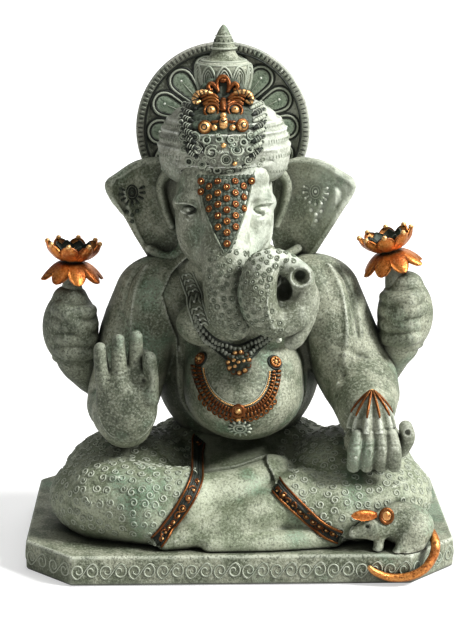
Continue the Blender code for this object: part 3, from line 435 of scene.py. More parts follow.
def lifted(hits, lift=0.0):
    """Hits on a skin as two rows: the spots, raised off it, and the way out at each."""
    return np.array([spot + way * lift for spot, way in hits]), np.array([way for _, way in hits])


def from_front(skin, x, z):
    """The skin's front at this X and Z, measured from the middle of the plinth's underside."""
    start = at(x, 0, z)
    return facing(skin, (start[0], PLINTH_LOW[1] - 60, start[2]))


def front_of(skin, node, across=0, up=0):
    """The skin's front before the middle of a casting, or so far from there."""
    x, _, z = middle(node)
    return from_front(skin, x - ORIGIN[0] + across, z + up)


def draped(skin, line, lift=0.0):
    """A line pressed on a skin: its points, and the way out at each."""
    spots, ways = [], []
    for point in line:
        spot, way, _, _ = skin["tree"].find_nearest(Vector(point))
        spots.append(np.array(spot) + np.array(way) * lift)
        ways.append(np.array(way))
    return np.array(spots), np.array(ways)


def front_line(skin, line, lift=0.0):
    """A line given in X and Z, pressed on the skin's front."""
    hits = [from_front(skin, x, z) for x, z in line]
    return lifted(hits, lift)


class Relief:
    """Raised work, such as cords, beads and rings, gathered into one mesh."""

    def __init__(self):
        self.points, self.quads, self.triangles, self.count = [], [], [], 0

    def add(self, points, quads=(), triangles=()):
        self.points.append(np.asarray(points))
        if len(quads):
            self.quads.append(np.asarray(quads) + self.count)
        if len(triangles):
            self.triangles.append(np.asarray(triangles) + self.count)
        self.count += len(points)

    def cord(self, line, ways, radius, sides=6, tips=0.25, closed=False):
        """A tube along a line. ways is the way out at each point, or one for all of them.

        tips is the radius at the ends, as a share.
        """
        line, ways = np.asarray(line, float), np.asarray(ways, float)
        count = len(line)
        if closed:
            along = np.roll(line, -1, 0) - np.roll(line, 1, 0)
            sizes = np.full(count, radius, float)
        else:
            along = np.gradient(line, axis=0)
            share = np.minimum(np.arange(count), np.arange(count)[::-1]) / max(2.0, count * 0.2)
            sizes = radius * (tips + (1 - tips) * np.clip(share, 0, 1))
        sizes = sizes[:, None, None]
        across = np.cross(along, ways)
        across /= np.linalg.norm(across, axis=1, keepdims=True) + 1e-9
        out = np.cross(across, along)
        out /= np.linalg.norm(out, axis=1, keepdims=True) + 1e-9
        angles = TAU * np.arange(sides) / sides
        rings = line[:, None] + sizes * (
            np.cos(angles)[
                None, :, None
            ] * across[:, None] + np.sin(angles)[None, :, None] * out[:, None]
        )
        points = rings.reshape(-1, 3)
        last = count if closed else count - 1
        first = np.arange(last)[:, None] * sides
        step = np.arange(sides)[None, :]
        after = (step + 1) % sides
        second = (np.arange(1, last + 1) % count)[:, None] * sides
        quads = np.stack(
            (first + step, first + after, second + after, second + step), -1
        ).reshape(-1, 4)
        triangles = []
        if not closed:
            points = np.vstack((points, line[:1], line[-1:]))
            start, end = count * sides, count * sides + 1
            tail = (count - 1) * sides
            triangles = [(start, (i + 1) % sides, i) for i in range(sides)]
            triangles += [(end, tail + i, tail + (i + 1) % sides) for i in range(sides)]
        self.add(points, quads, triangles)

    def bead(self, spot, way, radius, height=1.0, sides=10, rings=6):
        """A ball, flattened or drawn out along its way."""
        spot, way = np.asarray(spot, float), unit(way)
        side, other = tangents(way)
        tilts = math.pi * np.arange(1, rings) / rings
        turns = TAU * np.arange(sides) / sides
        width = np.sin(tilts)[:, None, None]
        rise = np.cos(tilts)[:, None, None]
        ring = np.cos(turns)[None, :, None] * side + np.sin(turns)[None, :, None] * other
        points = (spot + radius * (width * ring + height * rise * way)).reshape(-1, 3)
        points = np.vstack((points, spot + radius * height * way, spot - radius * height * way))
        step = np.arange(sides)
        after = (step + 1) % sides
        quads = []
        for row in range(rings - 2):
            a, b = row * sides, (row + 1) * sides
            quads.append(np.stack((a + step, b + step, b + after, a + after), -1))
        top, bottom, tail = len(points) - 2, len(points) - 1, (rings - 2) * sides
        triangles = [(top, i, (i + 1) % sides) for i in range(sides)]
        triangles += [(bottom, tail + (i + 1) % sides, tail + i) for i in range(sides)]
        self.add(points, np.vstack(quads), triangles)

    def ring(self, spot, way, radius, thickness, sides=6, steps=18, stretch=1.0):
        """A round or oval hoop that faces along its way."""
        side, other = tangents(way)
        angles = TAU * np.arange(steps) / steps
        flat = np.stack((radius * np.cos(angles), radius * stretch * np.sin(angles)), -1)
        line = np.asarray(spot) + flat[:, :1] * side + flat[:, 1:] * other
        self.cord(line, unit(way), thickness, sides, closed=True)

    def build(self, name, finish, replaces=()):
        """Makes one finished piece of all the work so far."""
        obj = make_mesh(
            name,
            np.vstack(self.points),
            [np.vstack(group) for group in (self.quads, self.triangles) if group],
        )
        return show(obj, finish, replaces)


def tangents(way):
    """Two directions square to a way: one as level as can be, and one as upright as can be."""
    way = unit(way)
    side = np.cross(way, UP)
    if np.linalg.norm(side) < 0.1:
        side = np.array((1.0, 0.0, 0.0))
    side = -unit(side)
    return side, np.cross(way, side)


def swirl_line(spot, way, size, turn, hand, turns=1.35, steps=16):
    """A curl that winds inwards."""
    side, other = tangents(way)
    share = np.linspace(0, 1, steps)[:, None]
    angle = turn + hand * TAU * turns * share
    radius = size * (1 - 0.78 * share)
    return spot + radius * (np.cos(angle) * side + np.sin(angle) * other)


def scatter(skin, pitch, wanted, seed):
    """Spots on the skin that stay a pitch apart, where wanted(points, ways) says so."""
    points, faces = skin["points"], skin["faces"]
    corners = points[faces]
    spots = corners.mean(1)
    ways = np.cross(corners[:, 2] - corners[:, 0], corners[:, 3] - corners[:, 1])
    ways /= np.linalg.norm(ways, axis=1, keepdims=True) + 1e-9
    allowed = np.flatnonzero(wanted(spots, ways))
    order = np.random.default_rng(seed).permutation(allowed)
    taken = {}
    chosen = []
    for index in order:
        cell = tuple((spots[index] // pitch).astype(int))
        near = (
            taken.get((cell[0] + i, cell[1] + j, cell[2] + k))
            for i in (-1, 0, 1)
            for j in (-1, 0, 1)
            for k in (-1, 0, 1)
        )
        if all(
            other is None or np.sum((spots[other] - spots[index]) ** 2) >= pitch**2
            for other in near
        ):
            taken[cell] = index
            chosen.append(index)
    return spots[chosen], ways[chosen]


def swirls(relief, skin, pitch, wanted, thickness, seed, share_rings=0.0):
    """Fills a stretch of skin with curls."""
    chance = np.random.default_rng(seed + 1)
    for spot, way in zip(*scatter(skin, pitch, wanted, seed)):
        turn = chance.uniform(0, TAU)
        hand = chance.choice((-1, 1))
        size = pitch * chance.uniform(0.43, 0.5)
        if chance.uniform() < share_rings:
            relief.ring(spot, way, size * 0.8, thickness, steps=14, sides=5)
            relief.bead(spot, way, size * 0.3, height=0.8, sides=6, rings=4)
            continue
        line, ways = draped(skin, swirl_line(spot, way, size, turn, hand))
        relief.cord(line, ways, thickness, sides=5, tips=0.5)


def turned(relief, centre, profile, steps=48, lean=(0, 0, 0), lobes=0, lobe_depth=0.0):
    """A (radius, height) profile spun about an upright axis, with optional lobes round it."""
    matrix = turn_matrix(lean)
    angles = TAU * np.arange(steps) / steps
    rows = []
    for radius, height in profile:
        size = radius * (1 - lobe_depth * (0.5 - 0.5 * np.cos(lobes * angles)))
        rows.append(
            np.stack((size * np.cos(angles), size * np.sin(angles), np.full(steps, height)), -1)
        )
    points = np.vstack(rows) @ matrix.T + centre
    step = np.arange(steps)
    after = (step + 1) % steps
    quads = [
        np.stack(
            (
                row * steps + step, row * steps + after, (row + 1) * steps + after,
                (row + 1) * steps + step,
            ),
            -1,
        )
        for row in range(len(profile) - 1)
    ]
    ends = np.array(((0, 0, profile[0][1]), (0, 0, profile[-1][1]))) @ matrix.T + centre
    points = np.vstack((points, ends))
    foot, top, tail = len(points) - 2, len(points) - 1, (len(profile) - 1) * steps
    triangles = [(foot, (i + 1) % steps, i) for i in range(steps)]
    triangles += [(top, tail + i, tail + (i + 1) % steps) for i in range(steps)]
    relief.add(points, np.vstack(quads), triangles)


# ---------------------------------------------------------------- finishes


# How many patches, specks and grains of the patina there are to a metre.
PATCH_SCALE, FINE_SCALE, GRAIN_SCALE = 23, 640, 1300
# How far, in metres, the painted shade of broad hollows and of gaps between parts reaches, and how
# high the patina's grain stands.
FAR_SHADE_REACH, BUMP_HEIGHT = 0.035, 0.0012
SHADE_SAMPLES = 6


def tree_node(tree, kind, **values):
    """A new node of this kind, with these settings."""
    node = tree.nodes.new("ShaderNode" + kind)
    for key, value in values.items():
        setattr(node, key, value)
    return node


def wire(tree, source, target):
    """Joins an output to an input."""
    tree.links.new(source, target)


def noise(tree, position, scale, detail, roughness=0.6):
    """Cloudy noise at a place."""
    node = tree_node(tree, "TexNoise")
    node.inputs["Scale"].default_value = scale
    node.inputs["Detail"].default_value = detail
    node.inputs["Roughness"].default_value = roughness
    wire(tree, position, node.inputs["Vector"])
    return node.outputs["Fac"]


def ranged(tree, value, low, high, to_low=0.0, to_high=1.0):
    """A value eased from one range to another."""
    node = tree_node(tree, "MapRange", interpolation_type="SMOOTHSTEP")
    for key, number in (
        ("From Min", low), ("From Max", high), ("To Min", to_low), ("To Max", to_high)
    ):
        node.inputs[key].default_value = number
    wire(tree, value, node.inputs["Value"])
    return node.outputs["Result"]


def figure(tree, operation, first, second):
    """A sum on two values, each a number or an output."""
    node = tree_node(tree, "Math", operation=operation)
    for socket, value in zip(node.inputs, (first, second)):
        if isinstance(value, (int, float)):
            socket.default_value = value
        else:
            wire(tree, value, socket)
    return node.outputs[0]


def blended(tree, share, first, second):
    """One colour over another, each a colour or an output."""
    node = tree_node(tree, "Mix", data_type="RGBA")
    sockets = [node.inputs["Factor"], *[s for s in node.inputs if s.type == "RGBA"]]
    wire(tree, share, sockets[0])
    for socket, value in zip(sockets[1:], (first, second)):
        if isinstance(value, tuple):
            socket.default_value = (*value, 1)
        else:
            wire(tree, value, socket)
    return next(s for s in node.outputs if s.type == "RGBA")


def aged_metal_group():
    """A casting's patina: mottled, rubbed pale where it stands proud, and dark in recesses, partly
    real patina and partly painted shade.
    """
    group = bpy.data.node_groups.new("aged_casting", "ShaderNodeTree")
    face = group.interface
    for name in ("Ground", "Second Ground", "Bloom", "Worn", "Recess"):
        face.new_socket(name=name, in_out="INPUT", socket_type="NodeSocketColor")
    for name, value in (
        ("Wear", 0.6), ("Shade And Pits", 0.8), ("Pit And Crease Shade", 0.8), ("Recess Reach", 0.006),
        ("Mottle Scale", 60.0),
    ):
        socket = face.new_socket(name=name, in_out="INPUT", socket_type="NodeSocketFloat")
        socket.default_value = value
    for name, kind in (
        ("Color", "NodeSocketColor"), ("Roughness", "NodeSocketFloat"),
        ("Height", "NodeSocketFloat"),
    ):
        face.new_socket(name=name, in_out="OUTPUT", socket_type=kind)
    given = group.nodes.new("NodeGroupInput").outputs
    result = group.nodes.new("NodeGroupOutput").inputs
    place = tree_node(group, "TexCoord").outputs["Object"]
    broad = tree_node(group, "TexNoise")
    broad.inputs["Detail"].default_value = 5
    wire(group, place, broad.inputs["Vector"])
    wire(group, given["Mottle Scale"], broad.inputs["Scale"])
    patch = noise(group, place, PATCH_SCALE, 3, 0.55)
    fine = noise(group, place, FINE_SCALE, 5, 0.62)
    grain = noise(group, place, GRAIN_SCALE, 3, 0.6)
    ground = blended(
        group, ranged(group, broad.outputs["Fac"], 0.40, 0.60), given["Ground"],
        given["Second Ground"],
    )
    bloom = figure(
        group, "MULTIPLY", ranged(group, patch, 0.54, 0.68),
        ranged(group, fine, 0.42, 0.55, 0.15, 0.75),
    )
    ground = blended(group, bloom, ground, given["Bloom"])
    edge = ranged(group, tree_node(group, "NewGeometry").outputs["Pointiness"], 0.5, 0.565)
    rubbed = figure(group, "MULTIPLY", edge, ranged(group, fine, 0.34, 0.54, 0.5, 1.0))
    chalk = figure(group, "MULTIPLY", ranged(group, fine, 0.50, 0.66), 0.38)
    worn = figure(group, "MULTIPLY", figure(group, "MAXIMUM", rubbed, chalk), given["Wear"])
    colour = blended(group, worn, ground, given["Worn"])
    # Painted shade: ambient occlusion darkens recesses and the gaps between parts towards the
    # Recess colour, partly the real dark patina of the hollows.
    near_shade = tree_node(group, "AmbientOcclusion", samples=SHADE_SAMPLES)
    wire(group, given["Recess Reach"], near_shade.inputs["Distance"])
    far_shade = tree_node(group, "AmbientOcclusion", samples=SHADE_SAMPLES)
    far_shade.inputs["Distance"].default_value = FAR_SHADE_REACH
    hidden = figure(group, "SUBTRACT", 1.0, ranged(group, near_shade.outputs["AO"], 0.25, 0.88))
    deep = figure(group, "SUBTRACT", 1.0, ranged(group, far_shade.outputs["AO"], 0.05, 0.72))
    hidden = figure(group, "MAXIMUM", hidden, figure(group, "MULTIPLY", deep, 0.85))
    # Painted shade in creases, where the surface bends inwards, joined below with the casting's
    # real pits.
    hollow_edge = ranged(group, tree_node(group, "NewGeometry").outputs["Pointiness"], 0.49, 0.44)
    pocks = figure(group, "MULTIPLY", ranged(group, fine, 0.50, 0.36), 0.75)
    pit_and_crease_mask = figure(group, "MAXIMUM", pocks, hollow_edge)
    shade_and_pit_mask = figure(group, "MAXIMUM", hidden, figure(group, "MULTIPLY", pit_and_crease_mask, given["Pit And Crease Shade"]))
    shade_and_pit_mask = figure(group, "MULTIPLY", shade_and_pit_mask, given["Shade And Pits"])
    wire(group, blended(group, shade_and_pit_mask, colour, given["Recess"]), result["Color"])
    wire(group, ranged(group, fine, 0.3, 0.7, 0.45, 0.7), result["Roughness"])
    rough_height = figure(
        group, "ADD", figure(group, "MULTIPLY", fine, 0.7), figure(group, "MULTIPLY", grain, 0.3)
    )
    wire(group, rough_height, result["Height"])
    return group


AGED = aged_metal_group()


def finish(
    name, ground, second, bloom, worn, recess, wear, shade_and_pits, metallic, pit_and_crease_shade=0.75, roughness=None,
    bump=0.6, reach=0.006, mottle=60.0, painted_side_light=None,
):
    """A cast finish. Roughness follows the patina unless one is given."""
    material = bpy.data.materials.new(name)
    material.use_nodes = True
    tree = material.node_tree
    shader = tree.nodes["Principled BSDF"]
    aged = tree_node(tree, "Group", node_tree=AGED)
    for key, colour in (
        ("Ground", ground), ("Second Ground", second), ("Bloom", bloom), ("Worn", worn),
        ("Recess", recess),
    ):
        aged.inputs[key].default_value = (*colour, 1)
    for key, value in (
        ("Wear", wear), ("Shade And Pits", shade_and_pits), ("Pit And Crease Shade", pit_and_crease_shade), ("Recess Reach", reach),
        ("Mottle Scale", mottle),
    ):
        aged.inputs[key].default_value = value
    colour = aged.outputs["Color"]
    # A painted highlight on the key light's side, above a height, when one is given.
    if painted_side_light:
        colour = paint_side_highlight(tree, colour, *painted_side_light)
    wire(tree, colour, shader.inputs["Base Color"])
    shader.inputs["Metallic"].default_value = metallic
    if roughness is None:
        wire(tree, aged.outputs["Roughness"], shader.inputs["Roughness"])
    else:
        shader.inputs["Roughness"].default_value = roughness
    relief = tree_node(tree, "Bump")
    relief.inputs["Strength"].default_value = bump
    relief.inputs["Distance"].default_value = BUMP_HEIGHT
    wire(tree, aged.outputs["Height"], relief.inputs["Height"])
    wire(tree, relief.outputs["Normal"], shader.inputs["Normal"])
    return material


def paint_side_highlight(tree, colour, from_x, to_x, from_z, to_z, share):
    """Painted highlight: paler towards the figure's left, where the key light falls, and above a
    height, in patches. Lengths in mm.
    """
    place = tree_node(tree, "TexCoord").outputs["Object"]
    split = tree_node(tree, "SeparateXYZ")
    wire(tree, place, split.inputs[0])
    sideways = ranged(tree, split.outputs["X"], from_x * MM, to_x * MM)
    height = ranged(tree, split.outputs["Z"], from_z * MM, to_z * MM)
    patches = ranged(tree, noise(tree, place, 110, 8.0), 0.36, 0.60, 0.35, 1.0)
    mask = figure(
        tree, "MULTIPLY", figure(tree, "MULTIPLY", sideways, height),
        figure(tree, "MULTIPLY", patches, share),
    )
    return blended(tree, mask, colour, PAINTED_HIGHLIGHT)


MID = (0.125, 0.145, 0.088)
GREY = (0.30, 0.315, 0.225)
EMERALD = (0.085, 0.19, 0.11)
CHALK = (0.72, 0.76, 0.63)
# The pale colour of the painted highlight.
PAINTED_HIGHLIGHT = (0.74, 0.79, 0.67)
# Near black, for the painted shade in recesses and creases and for the real pits.
SHADE_AND_PIT_DARK = (0.014, 0.017, 0.010)
PATINA = finish(
    "verdigris", MID, GREY, EMERALD, CHALK, SHADE_AND_PIT_DARK,
    wear=0.85, shade_and_pits=0.95, metallic=0.1, pit_and_crease_shade=0.85, bump=0.7,
)
CLOTH_PATINA = finish(
    "verdigris_cloth", (0.17, 0.20, 0.12), (0.34, 0.37, 0.26), EMERALD, CHALK, SHADE_AND_PIT_DARK,
    wear=0.65, shade_and_pits=0.93, metallic=0.1,
)
RAISED_LINES = finish(
    "rubbed_lines",
    (0.50, 0.54, 0.42), (0.36, 0.40, 0.30), (0.3, 0.42, 0.3), (0.85, 0.88, 0.77), SHADE_AND_PIT_DARK,
    wear=0.9, shade_and_pits=0.8, metallic=0.05, pit_and_crease_shade=0.3, bump=0.2, reach=0.002,
)
# The face, the cap, the halo and the ears carry a painted highlight towards the figure's left, the
# key light's side.
FACE_PATINA = finish(
    "verdigris_face",
    (0.125, 0.14, 0.088), (0.27, 0.285, 0.21), (0.12, 0.19, 0.12), (0.74, 0.78, 0.66), SHADE_AND_PIT_DARK,
    wear=0.85, shade_and_pits=0.93, metallic=0.08, pit_and_crease_shade=0.7, painted_side_light=(-14, 6, 206, 222, 0.75),
)
CAP_PATINA = finish(
    "verdigris_cap",
    (0.16, 0.17, 0.125), (0.34, 0.35, 0.275), (0.15, 0.21, 0.15), (0.80, 0.83, 0.75), SHADE_AND_PIT_DARK,
    wear=0.85, shade_and_pits=0.92, metallic=0.08, pit_and_crease_shade=0.6, painted_side_light=(-8, 24, 250, 262, 0.45),
)
HALO_PATINA = finish(
    "verdigris_halo",
    (0.105, 0.12, 0.08), (0.22, 0.215, 0.165), (0.06, 0.12, 0.07), (0.6, 0.62, 0.54), SHADE_AND_PIT_DARK,
    wear=0.7, shade_and_pits=0.94, metallic=0.1, painted_side_light=(10, 50, 240, 262, 0.35),
)
# The hands' darker patina; the rear fist on the figure's right, away from the key light, also takes
# it as painted shade.
DARK_HAND_AND_SHADED_FIST = finish(
    "dark_verdigris_and_fist_shade",
    (0.075, 0.09, 0.052), (0.17, 0.185, 0.125), (0.06, 0.12, 0.07), (0.62, 0.66, 0.54), SHADE_AND_PIT_DARK,
    wear=0.85, shade_and_pits=0.95, metallic=0.1, pit_and_crease_shade=0.9, bump=0.75,
)
EAR_PATINA = finish(
    "verdigris_ear", MID, GREY, EMERALD, CHALK, SHADE_AND_PIT_DARK,
    wear=0.85, shade_and_pits=0.95, metallic=0.1, pit_and_crease_shade=0.85, bump=0.7, painted_side_light=(28, 66, 196, 236, 0.45),
)
PETAL_PATINA = finish(
    "verdigris_petal",
    (0.065, 0.115, 0.062), (0.14, 0.19, 0.115), (0.05, 0.13, 0.07), (0.5, 0.58, 0.44), SHADE_AND_PIT_DARK,
    wear=0.6, shade_and_pits=0.8, metallic=0.1, reach=0.003,
)
SCROLL_LINES = finish(
    "rubbed_scrolls",
    (0.24, 0.27, 0.185), (0.17, 0.20, 0.13), (0.12, 0.2, 0.12), (0.70, 0.75, 0.62), SHADE_AND_PIT_DARK,
    wear=0.8, shade_and_pits=0.9, metallic=0.05, pit_and_crease_shade=0.4, bump=0.3, reach=0.002,
)
DARK_PATINA = finish(
    "deep_green",
    (
        0.016, 0.022, 0.014
    ), (0.034, 0.044, 0.028), (0.02, 0.06, 0.035), (0.13, 0.165, 0.11), (0.006, 0.008, 0.005),
    wear=0.35, shade_and_pits=0.9, metallic=0.2,
)
CHALK_BEADS = finish(
    "chalky_beads",
    (0.48, 0.51, 0.41), (0.32, 0.35, 0.27), (0.3, 0.38, 0.28), (0.85, 0.88, 0.80), SHADE_AND_PIT_DARK,
    wear=0.9, shade_and_pits=0.9, metallic=0.05, pit_and_crease_shade=0.5, bump=0.25, reach=0.003,
)
COPPER = finish(
    "copper_wash",
    (0.72, 0.24, 0.045), (0.50, 0.13, 0.025), (0.85, 0.36, 0.07), (1.0, 0.62, 0.25), (
        0.02, 0.012, 0.006
    ),
    wear=0.8, shade_and_pits=0.92, metallic=0.8, pit_and_crease_shade=0.8, roughness=0.37, bump=0.4, reach=0.0035,
)
STEEL = finish(
    "bolt_steel",
    (0.42, 0.42, 0.41), (0.34, 0.34, 0.33), (0.4, 0.4, 0.38), (0.7, 0.7, 0.69), (0.05, 0.05, 0.05),
    wear=0.6, shade_and_pits=0.7, metallic=1.0, pit_and_crease_shade=0.3, roughness=0.4, bump=0.1, reach=0.003,
)


# ---------------------------------------------------------------- plinth


def plinth_outline(inset=0.0):
    """Half the octagon's length and depth, and what X and Y add up to at a chamfer."""
    half_x = (PLINTH_HIGH[0] - PLINTH_LOW[0]) / 2 - inset
    half_y = (PLINTH_HIGH[1] - PLINTH_LOW[1]) / 2 - inset
    corner = PLINTH_CORNER - inset * (2 - math.sqrt(2))
    return half_x, half_y, half_x + half_y - corner


def plinth_form(inset, low, high, rounding):
    """An upright block with chamfered corners."""
    half_x, half_y, half_sum = plinth_outline(inset + rounding)
    centre = ORIGIN

    def distance(x, y, z):
        x, y = np.abs(x - centre[0]), np.abs(y - centre[1])
        flat = np.maximum(np.maximum(x - half_x, y - half_y), (x + y - half_sum) / math.sqrt(2))
        deep = np.maximum(low + rounding - z, z - high + rounding)
        return edged(flat, deep, rounding)

    reach = np.array((half_x + rounding, half_y + rounding, 0))
    return centre - reach + (0, 0, low), centre + reach + (0, 0, high), distance


def sculpt_plinth():
    """The tray, open below, with a hole for each bolt."""
    clay = Clay(PLINTH_LOW - 6, PLINTH_HIGH + 6, 1.25)
    clay.lay(plinth_form(0, 0, DECK, 1.6), blend=0)
    clay.dig(plinth_form(6, -8, DECK - 4.5, 0.8), blend=0.5)
    for bolt in BOLTS:
        place = middle(bolt)
        hole = [(place[0], place[1], 8), (place[0], place[1], DECK + 4)]
        clay.dig(chain(hole, BOLT_HOLE_RADIUS), blend=0)
    return cast("plinth_casting", clay, PATINA, ["plinth"])


def plinth_scrolls():
    """Rows of thin running scrolls on the front, the chamfers and the ends."""
    relief = Relief()
    half_x, half_y, _ = plinth_outline()
    corner = PLINTH_CORNER
    corners = [
        (-half_x, half_y - corner), (-half_x, -half_y + corner), (-half_x + corner, -half_y),
        (half_x - corner, -half_y), (half_x, -half_y + corner), (half_x, half_y - corner),
    ]
    for start, end in zip(corners, corners[1:]):
        start, end = np.array((*start, 0.0)) + ORIGIN, np.array((*end, 0.0)) + ORIGIN
        length = np.linalg.norm(end - start)
        along = (end - start) / length
        way = np.cross(along, UP)
        count = max(2, round(length / 19))
        pitch = length / count
        for i in range(count):
            spot = start + along * pitch * (i + 0.5) + UP * 10.2
            for hand in (-1, 1):
                share = np.linspace(0, 1, 22)[:, None]
                radius = 5.6 * (1 - 0.8 * share)
                angle = hand * math.pi / 2 - hand * TAU * 1.3 * share
                centre_line = spot + hand * along * pitch * 0.23
                line = centre_line + radius * (
                    np.cos(angle) * along * hand * 0.9 + np.sin(angle) * UP
                )
                relief.cord(line, way, 0.6, sides=5, tips=0.6)
            tie = spot + np.array(
                [
                    t * along * pitch * 0.5 + UP * 5.5 * np.sin(t * 2.6)
                    for t in np.linspace(-1, 1, 11)
                ]
            )
            relief.cord(tie, way, 0.5, sides=5)
    return relief.build("plinth_scrolls", RAISED_LINES)


# ---------------------------------------------------------------- seat and legs


def sculpt_seat():
    """Hips, both folded legs in their trousers, and the two bare ankles that cross in front."""
    low, high = at(-134, -98, DECK - 1), at(138, 76, 92)
    clay = Clay(low, high, 1.1)
    clay.lay(egg(at(0, 2, 26), (72, 62, 42)), egg(at(0, 30, 40), (78, 44, 42)), blend=8)
    for side in (-1, 1):
        reach = 80 if side < 0 else 83
        clay.lay(
            egg(at(side * (reach - 3), -6, 45), (44, 55, 31), turn=(0, side * 7, -side * 16)),
            blend=7,
        )
        clay.lay(
            egg(at(side * (reach + 13), -32, 42), (35, 38, 26), turn=(0, side * 5, -side * 10)),
            blend=6,
        )
    clay.lay(
        chain_from(ORIGIN, [(-88, -50, 44, 27), (-62, -62, 44, 25), (-38, -64, 48, 20)]), blend=6
    )
    clay.lay(chain_from(ORIGIN, [(90, -50, 40, 26), (66, -60, 38, 23), (40, -60, 40, 19)]), blend=6)
    clay.lay(chain_from(ORIGIN, [(-36, -62, 44, 19), (0, -54, 48, 18), (22, -40, 52, 17)]), blend=5)
    clay.lay(
        rope_from(
            ORIGIN,
            [
                (-50, -84, 25, 6), (-30, -80, 30, 9.5), (-8, -75, 35, 12.5), (16, -68, 41, 15.5),
                (42, -58, 48, 17),
            ],
        ),
        blend=4,
    )
    clay.lay(rope_from(ORIGIN, [(60, -78, 24, 8), (20, -84, 24, 8), (-20, -87, 24, 6)]), blend=5)
    clay.lay(egg(at(0, 0, DECK), (112, 84, 9)), blend=5)
    clay.coat(2.4, trouser_region, 0.8)
    for line, width, depth in seat_folds():
        crease(clay, line, width, depth)
    clay.trim(2, DECK + 0.4, 1)
    return cast("seat_and_legs", clay, CLOTH_PATINA, ["lap", "right_leg", "left_leg"])


def seat_folds():
    """Creases and ridges of the cloth, with width and depth; a ridge's depth is negative."""
    yield [
        (-88, -70, 66), (-68, -82, 73), (-50, -84, 75), (-41, -88, 69), (-48, -92, 60),
        (-58, -93, 54),
    ], 2.2, -2.8
    yield [(-84, -78, 60), (-66, -88, 64), (-50, -90, 62)], 3.0, 1.8
    yield [(-112, -72, 36), (-90, -86, 29), (-60, -94, 30)], 2.2, -2.0
    yield [(-116, -60, 47), (-92, -86, 38), (-64, -94, 40)], 2.6, 1.5
    yield [(-118, -40, 60), (-98, -70, 60), (-86, -80, 60)], 2.6, 1.3
    yield [(-70, -60, 84), (-92, -44, 80), (-108, -22, 70)], 2.6, 1.4
    yield [(42, -78, 66), (62, -84, 62), (92, -80, 60), (116, -56, 58)], 2.2, -1.9
    yield [(44, -80, 60), (66, -88, 54), (92, -86, 50), (118, -60, 46)], 2.6, 1.7
    yield [(54, -86, 44), (76, -92, 40), (104, -80, 36)], 2.2, -1.8
    yield [(70, -60, 82), (92, -44, 78), (112, -20, 66)], 2.6, 1.3
    yield [(-44, -92, 28), (-8, -90, 48), (20, -84, 60), (38, -78, 68)], 1.8, -1.6
    yield [(-34, -94, 24), (0, -92, 38), (34, -84, 46)], 2.6, 1.5
    yield [(-24, -84, 66), (-20, -88, 54), (-26, -92, 40)], 2.4, 1.2
    for side in (-1, 1):
        yield [(side * 60, 60, 70), (side * 84, 50, 50), (side * 96, 36, 28)], 3.0, 1.6
        yield [(side * 36, 72, 66), (side * 44, 74, 44), (side * 40, 70, 24)], 3.0, 1.6
        yield [(side * 112, 20, 60), (side * 122, 0, 44), (side * 116, -10, 26)], 2.8, 1.5


def cloth_swirls(seat):
    """Raised curls over both knees and round the hips."""
    skin = skin_of(seat)

    def wanted(spots, ways):
        x, z = spots[:, 0] - ORIGIN[0], spots[:, 2]
        y = spots[:, 1] - ORIGIN[1]
        outer = np.abs(x) > 30 + 0.55 * np.clip(72 - z, 0, 60) * (y < -40)
        return outer & (z > DECK + 4) & (ways[:, 2] > -0.5)

    relief = Relief()
    swirls(relief, skin, 6.4, wanted, 0.62, SEED)
    relief.build("cloth_swirls", RAISED_LINES)
    return skin


def hem_bands(skin):
    """The cloth's copper edges, with a leaf scroll between two plain borders."""
    paths = {
        "right_hem_band": [(-27, 71), (-32, 61), (-41, 47), (-49, 36), (-56, 27)],
        "left_hem_band": [(24, 60), (32, 53), (43, 43), (54, 34), (66, 28)],
    }
    for node, path in paths.items():
        line = flow(path, 8)
        _, across = along_and_across(line)
        relief, ground = Relief(), Relief()
        for offset, radius in ((-4.2, 0.9), (4.2, 0.9)):
            spots, ways = front_line(skin, line + across * offset, 0.8)
            relief.cord(spots, ways, radius, sides=8, tips=0.8)
        for offset in np.linspace(-3, 3, 5):
            spots, ways = front_line(skin, line + across * offset, -0.2)
            ground.cord(spots, ways, 1.35, sides=8, tips=0.9)
        length = len(line)
        for i in range(2, length - 2, 3):
            spot, way = from_front(skin, *line[i])
            hand = 1 if (i // 3) % 2 else -1
            curl, curl_ways = draped(skin, swirl_line(spot, way, 3.0, i * 0.4, hand, 1.2), 1.3)
            relief.cord(curl, curl_ways, 0.62, sides=6, tips=0.5)
            relief.bead(spot + way * 1.6, way, 0.95, sides=8, rings=5)
        relief.build(f"{node}_relief", COPPER, [node])
        ground.build(f"{node}_ground", DARK_PATINA)


# ---------------------------------------------------------------- torso


